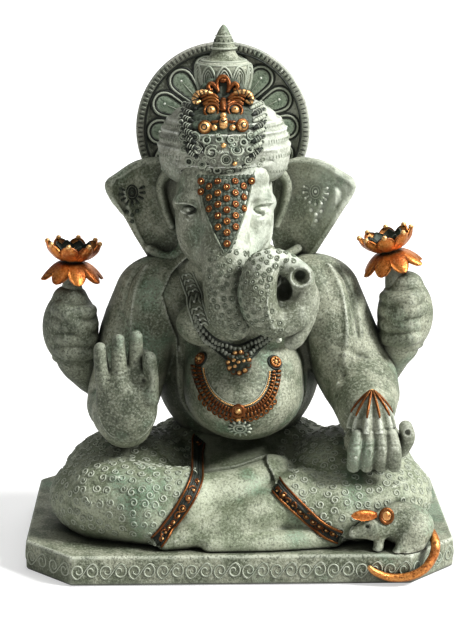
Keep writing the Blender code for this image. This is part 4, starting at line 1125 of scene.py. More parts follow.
def sculpt_torso():
    """Round belly, breast mounds, and an open jacket whose sleeves reach both front wrists."""
    low, high = at(-114, -70, 60), at(118, 64, 208)
    clay = Clay(low, high, 1.1)
    clay.lay(egg(at(4, -10, 110), (41.5, 52, 33)), egg(at(4, -6, 126), (41, 42, 28)), blend=6)
    clay.lay(egg(at(0, 14, 156), (54, 32, 44)), egg(at(0, 24, 120), (56, 34, 60)), blend=7)
    for side in (-1, 1):
        clay.lay(egg(at(2 + side * 22, -26, 162), (23, 16, 17), turn=(10, 0, -side * 8)), blend=7)
        clay.lay(egg(at(side * 50, 10, 174), (28, 26, 25)), blend=9)
    clay.lay(egg(at(-6, 4, 196), (33, 26, 20)), blend=8)
    right = [
        (-58, 8, 172, 25), (-70, 3, 146, 23.5), (-77, -3, 116, 22.5), (-80, -18, 101, 20),
        (-77, -44, 98, 15.5),
    ]
    left = [
        (58, 8, 172, 25), (70, 2, 146, 24), (80, -4, 122, 23.5), (86, -20, 111, 21.5),
        (86, -42, 104, 17),
    ]
    for path in (right, left):
        clay.lay(rope_from(ORIGIN, path), blend=3.5)
    clay.lay(chain_from(ORIGIN, [(94, 4, 122, 13), (99, -12, 106, 9)]), blend=7)
    clay.lay(chain_from(ORIGIN, [(-88, 4, 112, 11), (-93, -10, 98, 8)]), blend=7)
    clay.coat(3.0, jacket_region, 0.9)
    for line, width, depth in jacket_folds():
        crease(clay, line, width, depth)
    for side in (-1, 1):
        spot = at(2 + side * 24.5, -44, 154)
        clay.lay(egg(spot, (2.2, 2.4, 2.2)), blend=1)
        ring = [spot + (4.6 * math.cos(a), 0.4, 4.6 * math.sin(a)) for a in np.linspace(0, TAU, 17)]
        clay.score(ring, 0.9, 0.8)
    crease(
        clay,
        [(-36, -48, 149), (-18, -52, 145), (4, -50, 147), (24, -52, 145), (42, -46, 149)],
        2.6, 1.6,
    )
    return cast("torso_and_sleeves", clay, PATINA, ["torso", "right_front_arm", "left_front_arm"])


# ---------------------------------------------------------------- hands


def sculpt_raised_hand():
    """The right hand: a broad palm, three straight fingers, one bent back, and the thumb up."""
    palm = at(-75.5, -62, 116)
    clay = Clay(palm + (-27, -17, -31), palm + (27, 26, 54), 0.7)
    clay.lay(egg(palm + (0, 1, -3), (20.5, 9.5, 25)), blend=2)
    clay.lay(egg(palm + (0, 0, 8), (20, 8.5, 17)), blend=4)
    clay.lay(chain_from(palm, [(0, 14, -14, 13), (0, 4, -8, 11)]), blend=6)
    fingers = [
        [(-14.5, -1, 13, 5.6), (-16.5, 0, 25, 5.0), (-17.3, 1, 37, 4.2)],
        [(-4.5, -1, 18, 5.6), (-4.9, 0, 31, 5.2), (-5.0, 1.5, 42.5, 4.2)],
        [(6, 2, 20, 5.2), (6.3, 2, 33, 5.0), (6.6, 2, 44.5, 4.4)],
        [(13.5, 4, 16, 5.0), (14, 8, 24, 4.6), (12, 10, 30, 4.0)],
        [(15.5, -3, 4, 6.0), (16, -4, 18, 5.6), (15.4, -4.5, 31.5, 4.6)],
    ]
    for rows in fingers:
        clay.lay(rope_from(palm, rows), blend=1.6)
    clay.dig(egg(palm + (7, -9.5, 18), (8.5, 6.5, 9)), blend=4)
    clay.dig(egg(palm + (11.5, -8, 16), (2.2, 6, 2.2)), blend=1)
    clay.score(
        flow([palm + spot for spot in ((-16, -8, -3), (-6, -9, 1), (6, -9, 8), (13, -8, 13))]),
        1.3, 1.4,
    )
    clay.score(flow([palm + (-14, -8, 2), palm + (-4, -9, 5), palm + (2, -9, 9)]), 1.1, 0.9)
    for x, bottom in ((-15.8, 17), (-4.8, 21)):
        for rise in (0, 3.0, 9.5, 12.0):
            line = [
                palm + (x - 4.5, -5, bottom + rise), palm + (x, -6.5, bottom + rise - 0.8),
                palm + (x + 4.5, -5, bottom + rise),
            ]
            clay.score(line, 0.8, 0.9)
    rim = [
        palm + (19.5 * math.cos(a), -4, -3 + 24 * math.sin(a))
        for a in np.linspace(math.pi * 1.08, math.pi * 1.92, 16)
    ]
    clay.score(rim, 1.3, -1.0)
    return cast("raised_hand", clay, DARK_HAND_AND_SHADED_FIST, ["right_raised_hand"])


def sculpt_giving_hand():
    """The left hand closes round the sweet, with its fingers as broad staves in front."""
    hand = middle("left_giving_hand") + (4, -1, -2)
    clay = Clay(hand + (-26, -20, -20), hand + (27, 28, 24), 0.7)
    clay.lay(egg(hand + (0, 2, -1), (20, 17, 15)), blend=2)
    clay.lay(chain_from(hand, [(0, 20, 8, 14), (0, 6, 3, 13)]), blend=5)
    for x in (-14, -5.5, 3.5, 12):
        rows = [
            (x * 1.05, -12.5, -13, 4.6), (x, -15.5, -2, 5.0),
            (x * 0.86, -12.5, 10 - abs(x) * 0.12, 4.2),
        ]
        clay.lay(rope_from(hand, rows), blend=1.4)
        clay.score([hand + (x - 4, -19, 3), hand + (x + 4, -19, 3)], 0.8, 0.8)
    for x in (-9.8, -1, 7.8):
        clay.score(
            [hand + (x * 1.05, -19, -14), hand + (x, -20, -2), hand + (x * 0.9, -17, 9)], 1.2, 1.9
        )
    clay.lay(rope_from(hand, [(18, -3, -4, 6), (21.5, -7, 5, 5.5), (20, -10, 13, 4.6)]), blend=2)
    clay.dig(egg(hand + (21, -14, 10), (2, 3, 2.4)), blend=1)
    return cast("giving_hand", clay, FACE_PATINA, ["left_giving_hand"])


def modak():
    """The pointed sweet: pleats gathered to a tip, with copper on the upper ones."""
    low, high = corners_of("modak")
    centre = np.array(((low[0] + high[0]) / 2 + 2, (low[1] + high[1]) / 2 - 2, 0))
    foot, tip = low[2] - 3, high[2] - 0.4
    shares = np.linspace(0, 1, 26)

    def reach_at(share):
        """How far out the sweet is at a share of its height."""
        swell = math.sin(math.pi * 0.5 * min(1, 1.02 - share) ** 0.86)
        return 16.5 * swell * (0.9 + 0.1 * (1 - share)) + 0.25

    profile = [(reach_at(share), foot + (tip - foot) * share) for share in shares]
    body, strips = Relief(), Relief()
    turned(body, centre, profile, steps=90, lobes=10, lobe_depth=0.2)
    body.build("modak_sweet", FACE_PATINA)
    for i in range(10):
        angle = TAU * i / 10
        way = np.array((math.cos(angle), math.sin(angle), 0.35))
        if way[1] > 0.35:
            continue
        upper = [p for p, s in zip(profile, shares) if s > 0.36]
        line = np.array([centre + (r * math.cos(angle), r * math.sin(angle), z) for r, z in upper])
        strips.cord(line, way, 1.05, sides=8, tips=0.6)
    strips.bead(centre + (0, 0, tip - 1), UP, 1.8)
    strips.build("modak_copper_pleats", COPPER, ["modak"])


def bracelet():
    """Two rows of beads round the left wrist."""
    centre = middle("left_bracelet") + (4, 1, 3)
    relief = Relief()
    for row in (-1.9, 1.9):
        for i in range(26):
            angle = TAU * (i + (row > 0) * 0.5) / 26
            way = np.array((math.cos(angle), 0, math.sin(angle)))
            relief.bead(centre + way * 17.2 + (0, row, 0), way, 1.9, sides=8, rings=5)
    relief.build("bracelet_beads", PATINA, ["left_bracelet"])


def sculpt_rear_arm(side):
    """An arm from behind, with its closed hand and the cuff at the wrist."""
    word = hand_of(side)
    fist = middle(f"{word}_rear_fist")
    low = np.array((min(side * 40, fist[0] + side * 26), fist[1] - 26, 90))
    high = np.array((max(side * 40, fist[0] + side * 26), 62 + ORIGIN[1], fist[2] + 34))
    clay = Clay(low, high, 0.9)
    wrist = fist + (-side * 5, 5, -21)
    rows = [
        (*at(side * 50, 30, 150), 19.5), (*at(side * 74, 33, 124), 20),
        (*at(side * 92, 25, 113), 19),
    ]
    rows += [(*(wrist + (-side * 5, 7, -6)), 17.5), (*wrist, 16)]
    clay.lay(rope(rows, 4), blend=2)
    clay.lay(egg(fist + (0, 0, 1), (19.5, 18.5, 27)), blend=3)
    for i in range(4):
        z = 15 - 9.4 * i
        x_in, x_out = -side * (15 - abs(i - 1.5)), side * (9 - abs(i - 1.2) * 1.5)
        finger = [
            (x_out, -11, z + 1.5, 5.4), (side * 1, -17.5, z + 1, 5.6),
            (x_in * 0.8, -13.5, z - 0.5, 5.2), (x_in * 1.05, -5, z - 1, 4.8),
        ]
        clay.lay(rope_from(fist, finger), blend=1.3)
    thumb = [(-side * 12, -8, -8, 5.6), (-side * 7, -17, 4, 5.6), (side * 1, -19, 14, 5.0)]
    clay.lay(rope_from(fist, thumb), blend=1.4)
    clay.lay(egg(fist + (0, 0, 24), (11, 11, 7)), blend=4)
    ring = [
        wrist + (17.8 * math.cos(a), 17.2 * math.sin(a), 2.5 - 3 * math.cos(a) * side)
        for a in np.linspace(0, TAU, 33)
    ]
    clay.score(ring, 1.9, -2.2)
    ring_two = [p + (0, 0, 4.6) for p in ring]
    clay.score(ring_two, 1.3, -1.2)
    # On the figure's right, away from the key light, the fist takes the darker hand finish as
    # painted shade.
    return cast(
        f"{word}_rear_arm_and_fist", clay, DARK_HAND_AND_SHADED_FIST if side < 0 else PATINA,
        [f"{word}_rear_arm", f"{word}_rear_fist"],
    )


def petal(relief, foot, matrix, angle, rows, thickness=1.1, columns=7):
    """A cupped petal. From foot to tip, rows give how far out, high, wide and cupped it is."""
    rows = flow(rows, 3)
    c, s = math.cos(angle), math.sin(angle)
    outward, across = np.array((c, s, 0)), np.array((-s, c, 0))
    middle_line = rows[:, :1] * outward + rows[:, 1:2] * UP
    along = np.gradient(middle_line, axis=0)
    under = np.cross(along, across)
    under /= np.linalg.norm(under, axis=1, keepdims=True) + 1e-9
    spread = np.linspace(-1, 1, columns)
    faces = []
    for lift in (0.5, -0.5):
        grid = middle_line[:, None] + spread[None, :, None] * rows[:, None, 2:3] * across
        grid = grid - under[:, None] * (rows[:, None, 3:4] * (spread[None, :, None] ** 2))
        faces.append(grid + under[:, None] * thickness * lift)
    points = np.concatenate([grid.reshape(-1, 3) for grid in faces]) @ matrix.T + foot
    count = len(rows)
    sheet = count * columns
    quads = []
    for i in range(count - 1):
        for j in range(columns - 1):
            a = i * columns + j
            quads.append((a, a + 1, a + columns + 1, a + columns))
            quads.append((sheet + a, sheet + a + columns, sheet + a + columns + 1, sheet + a + 1))
    edge = [i * columns for i in range(count)]
    edge += [(count - 1) * columns + j for j in range(1, columns)]
    edge += [i * columns + columns - 1 for i in range(count - 2, -1, -1)]
    edge += range(columns - 2, 0, -1)
    for a, b in zip(edge, edge[1:] + edge[:1]):
        quads.append((a, a + sheet, b + sheet, b))
    relief.add(points, quads)


def lotus(side):
    """A stem, a skirt of drooping petals and a bowl of rising ones with beaded tips."""
    word = hand_of(side)
    foot_node = middle(f"{word}_lotus_stem")
    lean = -14 if side > 0 else 3
    matrix = turn_matrix((0, lean, 0))
    up = matrix @ UP
    waist = foot_node + up * 11
    stem = Relief()
    profile = [(9.5, -27), (8.4, -18), (6.2, -9), (5.4, -2), (6.4, 4), (7.6, 8)]
    turned(stem, waist, flow(profile, 4), steps=28, lean=(0, lean, 0))
    stem.build(f"{word}_stem", FACE_PATINA, [f"{word}_lotus_stem"])
    flower, core = Relief(), Relief()
    count = 8
    for i in range(count):
        angle = TAU * (i + 0.35) / count
        droop = [
            (4, 5, 3.2, 0.4), (11, 3.2, 6.0, 1.4), (17, -1.6, 6.2, 2.0), (20.6, -6.0, 3.4, 1.2),
            (21.6, -7.6, 0.6, 0.2),
        ]
        petal(flower, waist, matrix, angle, droop, 1.3)
        rise = [
            (4, 6, 3.0, -0.4), (11, 7.6, 5.8, -1.6), (16.5, 12, 6.4, -2.4), (18.4, 16.4, 4.2, -1.6),
            (18.6, 18.6, 0.8, -0.2),
        ]
        petal(flower, waist, matrix, angle + TAU / count / 2, rise, 1.4)
        tip = waist + matrix @ np.array(
            (18.2 * math.cos(angle + 0.39), 18.2 * math.sin(angle + 0.39), 18.2)
        )
        flower.bead(tip, up, 1.9, sides=8, rings=5)
        inner = [
            (3, 7, 2.6, -0.3), (8, 9, 4.6, -1.2), (11.5, 14, 4.4, -1.4), (12.2, 17.6, 0.7, -0.2)
        ]
        petal(core, waist, matrix, angle + 0.2, inner, 1.3)
    turned(
        core, waist, [(5, 4), (8, 6), (9, 10), (6.5, 12.5), (2, 13.2)], steps=24, lean=(0, lean, 0)
    )
    flower.build(f"{word}_lotus_petals", COPPER, [f"{word}_lotus"])
    core.build(f"{word}_lotus_heart", DARK_PATINA)


# ---------------------------------------------------------------- head


HEAD_X = middle("head")[0] - ORIGIN[0]
CREST_MIDDLE = 0.6
CREST_TILT = 12.7


def sculpt_head():
    """Skull, brow, cheeks, eyes, and the trunk that ends in an open curl."""
    low, high = at(-60, -96, 152), at(62, 46, 292)
    clay = Clay(low, high, 0.95)
    h = HEAD_X
    clay.lay(egg(at(h, -2, 246), (33, 37, 42)), blend=2)
    for side in (-1, 1):
        clay.lay(egg(at(h + side * 14.5, -24, 262), (15.5, 16, 17)), blend=6)
        clay.lay(egg(at(h + side * 17.5, -16, 228), (15.5, 20, 27)), blend=8)
        clay.lay(egg(at(h + side * 10, -28, 211), (11, 16, 16)), blend=7)
        clay.lay(
            chain_from(
                ORIGIN,
                [
                    (h + side * 19, -36, 252, 5), (h + side * 27, -27, 249, 5),
                    (h + side * 31, -16, 243, 4),
                ],
            ),
            blend=5,
        )
    clay.lay(egg(at(h, 14, 207), (24, 21, 26)), blend=8)
    trunk = [
        (h, -32, 250, 17), (h, -43, 232, 16.5), (h + 0.2, -52, 212, 16), (h + 0.6, -57, 194, 15.6),
        (h + 2, -59, 178, 14.6), (h + 6, -60, 169, 11),
    ]
    clay.lay(rope_from(ORIGIN, trunk, 4), blend=6)
    curl = [
        (37, -73, 176, 8.5), (27, -75, 172.5, 9.0), (17, -77, 177, 11.0), (12, -79, 187, 12.3),
        (11, -79, 198, 12.4),
    ]
    curl += [
        (14.5, -77, 210, 11.2), (23, -75, 214, 8.6), (31, -76, 212, 7.6), (37.5, -76, 206.5, 8.2)
    ]
    clay.lay(rope_from(ORIGIN, curl, 4), blend=1.6)
    wall = [(31, -70, 176, 9), (40, -68, 183, 8.4), (42.5, -67, 193, 7.2), (41, -68, 203, 7.2)]
    clay.lay(rope_from(ORIGIN, wall, 4), blend=3)
    clay.lay(chain_from(ORIGIN, [(34, -62, 200, 11), (20, -62, 188, 12)]), blend=3)
    clay.lay(chain_from(ORIGIN, [(4, -56, 190, 14), (14, -62, 192, 12)]), blend=3)
    clay.dig(
        egg(at(28.6, -74, 193), (5.4, 15, 6.2), turn=(0, 12, 0)),
        egg(at(29.4, -76, 199), (3, 12, 6), turn=(0, -16, 0)), blend=1.2,
    )
    clay.lay(egg(at(38.4, -80.5, 206), (8.4, 5.6, 8.4)), blend=1)
    clay.dig(egg(at(38.4, -87, 206), (6.4, 8, 6.4)), blend=0.8)
    clay.dig(egg(at(38.6, -80, 206), (3.4, 5.5, 3.4)), blend=1.6)
    crease(
        clay,
        [(30, -80, 219), (23.5, -86, 209), (21.5, -90, 198), (20, -90, 186), (24.5, -86, 175)],
        1.3, 1.5,
    )
    crease(
        clay,
        [(26, -82, 220), (20, -88, 209), (18, -91, 198), (17, -91, 186), (21, -87, 173)],
        1.2, -1.1,
    )
    head_details(clay, h)
    return cast("head_and_trunk", clay, FACE_PATINA, ["head", "trunk"])


def head_details(clay, h):
    """Eyes and their lids, lines down the cheeks and the trunk, and the root of the tusk."""
    for side in (-1, 1):
        eye = at(h + side * 24.5, -30, 241)
        clay.dig(egg(eye + (0, -3.5, 0), (6.6, 4.6, 3.6), turn=(0, side * 12, 0)), blend=2.5)
        clay.lay(
            egg(eye + (-side * 0.5, 0.6, 0), (5.0, 4.4, 2.7), turn=(0, side * 12, 0)), blend=0.5
        )
        clay.lay(egg(eye + (-side * 0.5, -3.3, 0), (1.4, 1.2, 1.4)), blend=0.4)
        for rise, bulge in ((4.0, -1.9), (-3.6, -1.7), (7.6, -1.2), (-7.0, -1.2), (11.5, -1.0)):
            lid = [
                eye + (-side * 8, -2.5, rise * 0.15 - 1.2), eye + (-side * 2, -4.5, rise),
                eye + (side * 4, -2.5, rise * 0.85 + 1), eye + (side * 8.5, 3, rise * 0.3 + 2),
            ]
            clay.score(flow(lid, 4), 1.0, bulge)
        crease(
            clay,
            [(h + side * 20, -34, 264), (h + side * 14, -46, 240), (h + side * 3, -60, 219)],
            1.2, -1.6,
        )
        crease(
            clay,
            [(h + side * 24, -32, 262), (h + side * 19, -40, 240), (h + side * 18, -50, 214)],
            1.8, 1.5,
        )
        crease(
            clay,
            [
                (h + side * 31, -20, 266), (h + side * 33.5, -14, 246), (h + side * 30, -20, 222),
                (h + side * 22, -36, 206),
            ],
            1.8, 1.9,
        )
        crease(
            clay,
            [(h + side * 16, -62, 214), (h + side * 15.6, -68, 196), (h + side * 13.5, -70, 180)],
            1.2, -1.3,
        )
    clay.lay(chain_from(ORIGIN, [(h + 16, -36, 204, 9), (h + 27, -44, 200, 8)]), blend=4)


def tusk():
    """One whole tusk, blunt at its end, from behind the curl."""
    line = flow(
        [
            at(22, -46, 204), at(36, -56, 199), at(45, -61, 189), at(43, -65, 175),
            at(37.5, -67, 163), at(34, -67.5, 158),
        ],
        5,
    )
    clay = Clay(at(8, -84, 146), at(60, -34, 216), 0.8)
    clay.lay(
        chain(
            line, np.interp(np.linspace(0, 1, len(line)), (0, 0.5, 0.85, 1), (7.5, 7.2, 6.2, 5.2))
        ),
        blend=0,
    )
    return cast("tusk", clay, FACE_PATINA, ["left_tusk"])


def trunk_relief(head):
    """Curls, rings and leaves down the front of the trunk and over the outside of its curl."""
    skin = skin_of(head)

    def wanted(spots, ways):
        x, y, z = (spots - ORIGIN).T
        straight = (
            np.abs(x - HEAD_X - 2) < 13
        ) & (z < 219) & (z > 168) & (ways[:, 1] < -0.35) & (x < 8) & (y > -76)
        curl = (x > -6) & (
            x < 26 + 8 * (z > 205)
        ) & (z > 160) & (z < 224) & (y < -66) & (ways[:, 0] < 0.55)
        hollow = (x > 20) & (x < 40) & (z > 176) & (z < 204)
        return straight | (curl & ~hollow)

    relief = Relief()
    swirls(relief, skin, 4.3, wanted, 0.58, SEED + 4, share_rings=0.15)
    for side in (-1, 1):
        border = [
            (HEAD_X + side * 19.5, 268), (HEAD_X + side * 14, 246), (HEAD_X + side * 7, 229),
            (HEAD_X + side * 0.4, 217.5),
        ]
        line, ways = front_line(skin, flow(border, 8), 0.3)
        relief.cord(line, ways, 0.8, sides=6)
    relief.build("trunk_relief", SCROLL_LINES)
    return skin


def ear_outline(side):
    """The fan's edge in X and Z; the right ear is the left one mirrored."""
    points = [
        (27, 262), (35, 266), (45, 268.5), (60, 266.5), (72, 260), (81, 253), (77, 243), (68, 228),
        (58, 209), (50, 196), (42, 191), (32, 196), (25, 214), (23, 240),
    ]
    line = flow(points, 3)
    if side < 0:
        line = np.stack((2 * HEAD_X - line[:, 0] + 9, line[:, 1]), -1)
    return [(x + ORIGIN[0], z) for x, z in line]


def sculpt_ear(side):
    """A thick fan that bows forwards to its tip, with a rolled rim, root folds and a hollow."""
    word = hand_of(side)
    plane = middle(f"{word}_ear")[1] - 2
    root = middle(f"{word}_ear")[0] - side * 28
    outline = ear_outline(side)
    xs = [p[0] for p in outline]
    clay = Clay((min(xs) - 4, plane - 24, 184), (max(xs) + 4, plane + 20, 276), 0.8)

    def bow(x, z):
        share = np.clip(side * (x - root) / 54, -0.3, 1)
        return -9.0 * np.abs(share) ** 1.5 + 6.5 * np.sin(share * 3.3) + 1.6 * np.sin(
            (z - 190) / 9.0
        ) * share

    clay.lay(slab(outline, plane, 8.0, 1.4, bow), blend=0)
    rim = np.array([p for p in outline if side * (p[0] - root) > 4])
    ring = [
        (
            x + side * -3.2 * 0.8, plane + float(bow(np.float32(x), np.float32(z))) - 4.2,
            z - 2.4 * (z > 240) + 1.0 * (z < 215),
        )
        for x, z in rim
    ]
    clay.score(ring, 1.8, -2.2)
    inner = [(x - side * 7.5, y + 0.4, z - 3.4 * (z > 240) + 2.0 * (z < 215)) for x, y, z in ring]
    clay.score(inner, 2.0, 1.8)
    clay.lay(
        rope(
            [
                (root + side * 3, plane - 4, 256, 5), (root + side * 13, plane - 6, 260, 4.4),
                (root + side * 21, plane - 5, 252, 3.6), (root + side * 19, plane - 3, 236, 3.2),
                (root + side * 14, plane - 3, 222, 2.6),
            ],
            4,
        ),
        blend=3,
    )
    clay.lay(
        rope(
            [
                (root + side * 3, plane - 7, 222, 4.5), (root + side * 6, plane - 9, 206, 5),
                (root + side * 17, plane - 8, 200, 4.2), (root + side * 29, plane - 5, 206, 3),
            ],
            4,
        ),
        blend=3,
    )
    clay.dig(egg((root + side * 11, plane - 9, 238), (6, 5, 16), turn=(0, side * 12, 0)), blend=4)
    clay.dig(egg((root + side * 26, plane - 11, 218), (6, 5, 12), turn=(0, -side * 30, 0)), blend=4)
    for line, depth in (
        ([(25, -6, 258), (31, -8, 238), (28, -6, 214)], 2.2),
        ([(46, -11, 248), (42, -9, 232), (33, -6, 212)], -1.8),
        ([(50, -12, 254), (47, -10, 236), (38, -8, 214)], 2.0),
        ([(37, -9, 260), (38, -9, 244), (33, -7, 222)], -1.6),
    ):
        clay.score(flow([(root + side * x, plane + y, z) for x, y, z in line]), 2.2, depth)
    return cast(f"{word}_ear_fan", clay, EAR_PATINA, [f"{word}_ear"])


def ear_flower(side, ear):
    """A drop with a fan of petals round it, and a short hanging spray."""
    skin = skin_of(ear)
    word = hand_of(side)
    x = middle(f"{word}_ear")[0] - ORIGIN[0] + side * 13
    relief = Relief()
    spot, way = from_front(skin, x, 246)
    relief.ring(spot + way * 0.5, way, 2.3, 0.6, stretch=1.3)
    relief.bead(spot + way * 0.4, way, 1.3, height=0.8)
    relief.ring(spot + way * 0.3, way, 4.2, 0.5, stretch=1.15)
    for i in range(9):
        angle = math.radians(-200 + 27.5 * i)
        start, _ = from_front(skin, x + 5.0 * math.cos(angle), 246 + 5.4 * math.sin(angle))
        end, _ = from_front(skin, x + 8.2 * math.cos(angle), 246 + 8.6 * math.sin(angle))
        line = np.linspace(start, end, 5) + way * 0.5
        relief.cord(line, way, 0.85, sides=6, tips=0.5)
        relief.bead(end + way * 0.6, way, 1.15, sides=6, rings=4)
    for dx, z in ((-3, 233), (0, 230.5), (3.4, 233), (0, 226)):
        drop, drop_way = from_front(skin, x + dx, z)
        relief.bead(drop + drop_way * 0.5, drop_way, 1.5, height=0.7)
    # The flower on the figure's left, the key light's side, is pale; the one on its right is dark.
    relief.build(f"{word}_ear_flower", DARK_PATINA if side < 0 else RAISED_LINES)


# ---------------------------------------------------------------- crown


def sculpt_cap():
    """A round turban with paired bands, hollowed to sit on the skull."""
    centre = middle("crown_cap") * (1, 1, 0) + (0, -3, 281)
    clay = Clay(centre - (52, 50, 32), centre + (52, 50, 40), 0.95)
    clay.lay(egg(centre, (44.5, 42, 31.5)), egg(centre + (0, 0, 6), (39, 36, 26)), blend=5)
    for side in (-1, 1):
        clay.lay(egg(centre + (side * 29, -12, -9), (13.5, 17, 15)), blend=8)
    bands = (
        (-17, -1.4), (-14, 1.8), (-10.5, -1.4), (-7.5, 1.6), (0, -1.2), (2.4, 1.6), (8.5, 1.6),
        (10.8, -1.2), (17, -1.2), (19.4, 1.6), (25, 1.4),
    )
    for z, depth in bands:
        reach = math.sqrt(max(0.05, 1 - (z / 33) ** 2))
        band = [
            centre + (45 * reach * math.cos(a), 43 * reach * math.sin(a), z)
            for a in np.linspace(0, TAU, 64)
        ]
        clay.score(band, 1.0, depth)
    clay.dig(egg(middle("head") + (0, 2, -4), (31, 32, 43)), blend=1)
    return cast("cap_casting", clay, CAP_PATINA, ["crown_cap"])


def cap_ornament(skin, spot_at):
    """Ribbed leaves, ringed bosses and curls below the crest, and dashes on the bands."""
    dark, light = Relief(), Relief()
    for s in (-1, 1):
        for i in range(8):
            up = -3.0 - 4.6 * i
            x = CREST_MIDDLE + s * (16.4 + 2.4 * math.sin(i * 0.55 + 0.5) + 0.35 * i)
            hits = [
                spot_at(x + s * 8.2 * t, up + 5.2 * t, 0.8, False) for t in np.linspace(0, 1, 7)
            ]
            line, ways = lifted(hits)
            # Every other leaf on the figure's left, the key light's side, is pale; all those on its
            # right are dark.
            (light if s > 0 and i % 2 == 0 else dark).cord(line, ways, 1.7, sides=8, tips=0.5)
            for t in (2, 3, 4):
                light.ring(line[t], line[t + 1] - line[t - 1], 1.75, 0.3, steps=12, sides=5)
            light.ring(line[-1] + ways[-1] * 0.3, ways[-1], 1.5, 0.5, steps=12, sides=5)
            dark.bead(line[-1] + ways[-1] * 0.3, ways[-1], 1.0, sides=6, rings=4)
    bosses = [
        (9.3, -31.4, 3.9), (-18, -21.8, 3.2), (2.2, -37, 3.5), (-25, -30, 2.8), (-13.5, -40, 2.6),
        (13.5, -26, 2.2), (-2.5, -24, 2.0), (-10.5, -24.5, 2.4), (17.5, -31, 2.0),
        (-22, -37.5, 2.4), (-3.5, -43.5, 2.2),
    ]
    for x, up, size in bosses:
        spot, way = spot_at(x, up, 0.0, False)
        light.ring(spot + way * 0.7, way, size, 0.72, steps=20)
        if size > 2.5:
            light.ring(spot + way * 0.6, way, size * 0.6, 0.45, steps=14)
        dark.bead(spot + way * 0.3, way, size * 0.42, height=1.1)
        dark.bead(spot - way * 0.3, way, size, height=0.35, sides=14)
    curls = [
        (-7.5, -32.5, 5.4, 1), (18.3, -21, 3.8, -1), (16.8, -37, 3.9, -1), (14.5, -43.2, 2.8, 1),
        (-16, -30, 3.2, -1), (-9.5, -43, 3.0, 1), (4.6, -44, 2.6, -1), (5.5, -24.5, 2.8, 1),
        (-26, -22, 3.0, 1), (-19, -43, 2.4, -1),
    ]
    for x, up, size, hand in curls:
        spot, way = spot_at(x, up, 0.0, False)
        line, ways = draped(skin, swirl_line(spot, way, size, 1.0, hand, 1.7), 0.6)
        light.cord(line, ways, 0.7, sides=6)
        inner, ways = draped(skin, swirl_line(spot, way, size + 1.1, 1.4, hand, 0.9), 0.3)
        dark.cord(inner, ways, 0.6, sides=6)

    def open_ground(spots, ways):
        x, _, z = (spots - ORIGIN).T
        return (np.abs(x - HEAD_X - 0.5) < 25) & (z > 261) & (z < 292) & (ways[:, 1] < -0.3)

    swirls(light, skin, 4.4, open_ground, 0.6, SEED + 9, share_rings=0.25)
    for z, size in ((266, 1.5), (276, 1.2), (286, 1.5), (295, 1.2)):
        for i in range(126):
            angle = TAU * i / 126
            if math.sin(angle) < 0 and abs(math.cos(angle)) < 0.6:
                continue
            point = np.array(
                (HEAD_X + ORIGIN[0] + 70 * math.cos(angle), ORIGIN[1] + 5 + 70 * math.sin(angle), z)
            )
            spot, way = facing(skin, point, (-math.cos(angle), -math.sin(angle), 0))
            line = np.array([spot + UP * t * size for t in (-1, -0.35, 0.35, 1)]) + way * 0.15
            light.cord(line, way, 0.48, sides=5)
    dark.build("cap_dark_bosses", DARK_PATINA)
    light.build("cap_ornament", RAISED_LINES)


def crown_spots(skin):
    """Gives places on the crown's front, across and up from the crest's middle.

    Each is pressed straight in, along the crest's tilt. A flat one stops at the crest's plane.
    """
    centre = at(middle("crown_crest")[0] - ORIGIN[0] - 0.5, -20, 309)
    tilt = math.radians(CREST_TILT)
    inward = np.array((0.0, math.cos(tilt), -math.sin(tilt)))
    upward = np.array((0.0, math.sin(tilt), math.cos(tilt)))
    shield = unit((0, -1, 0.4))

    def spot_at(across, up, lift=0.0, flat=True):
        start = centre + (across, 0, 0) + upward * up - inward * 80
        reach = -float((start - centre) @ shield) / float(inward @ shield)
        spot, way, _, gap = skin["tree"].ray_cast(Vector(start), Vector(inward))
        if spot is None or (flat and up > -12 and reach < gap):
            return start + inward * (reach - lift), unit(shield - inward)
        way = unit(np.array(way) - inward * 0.5)
        return np.array(spot) + way * lift, way

    return spot_at


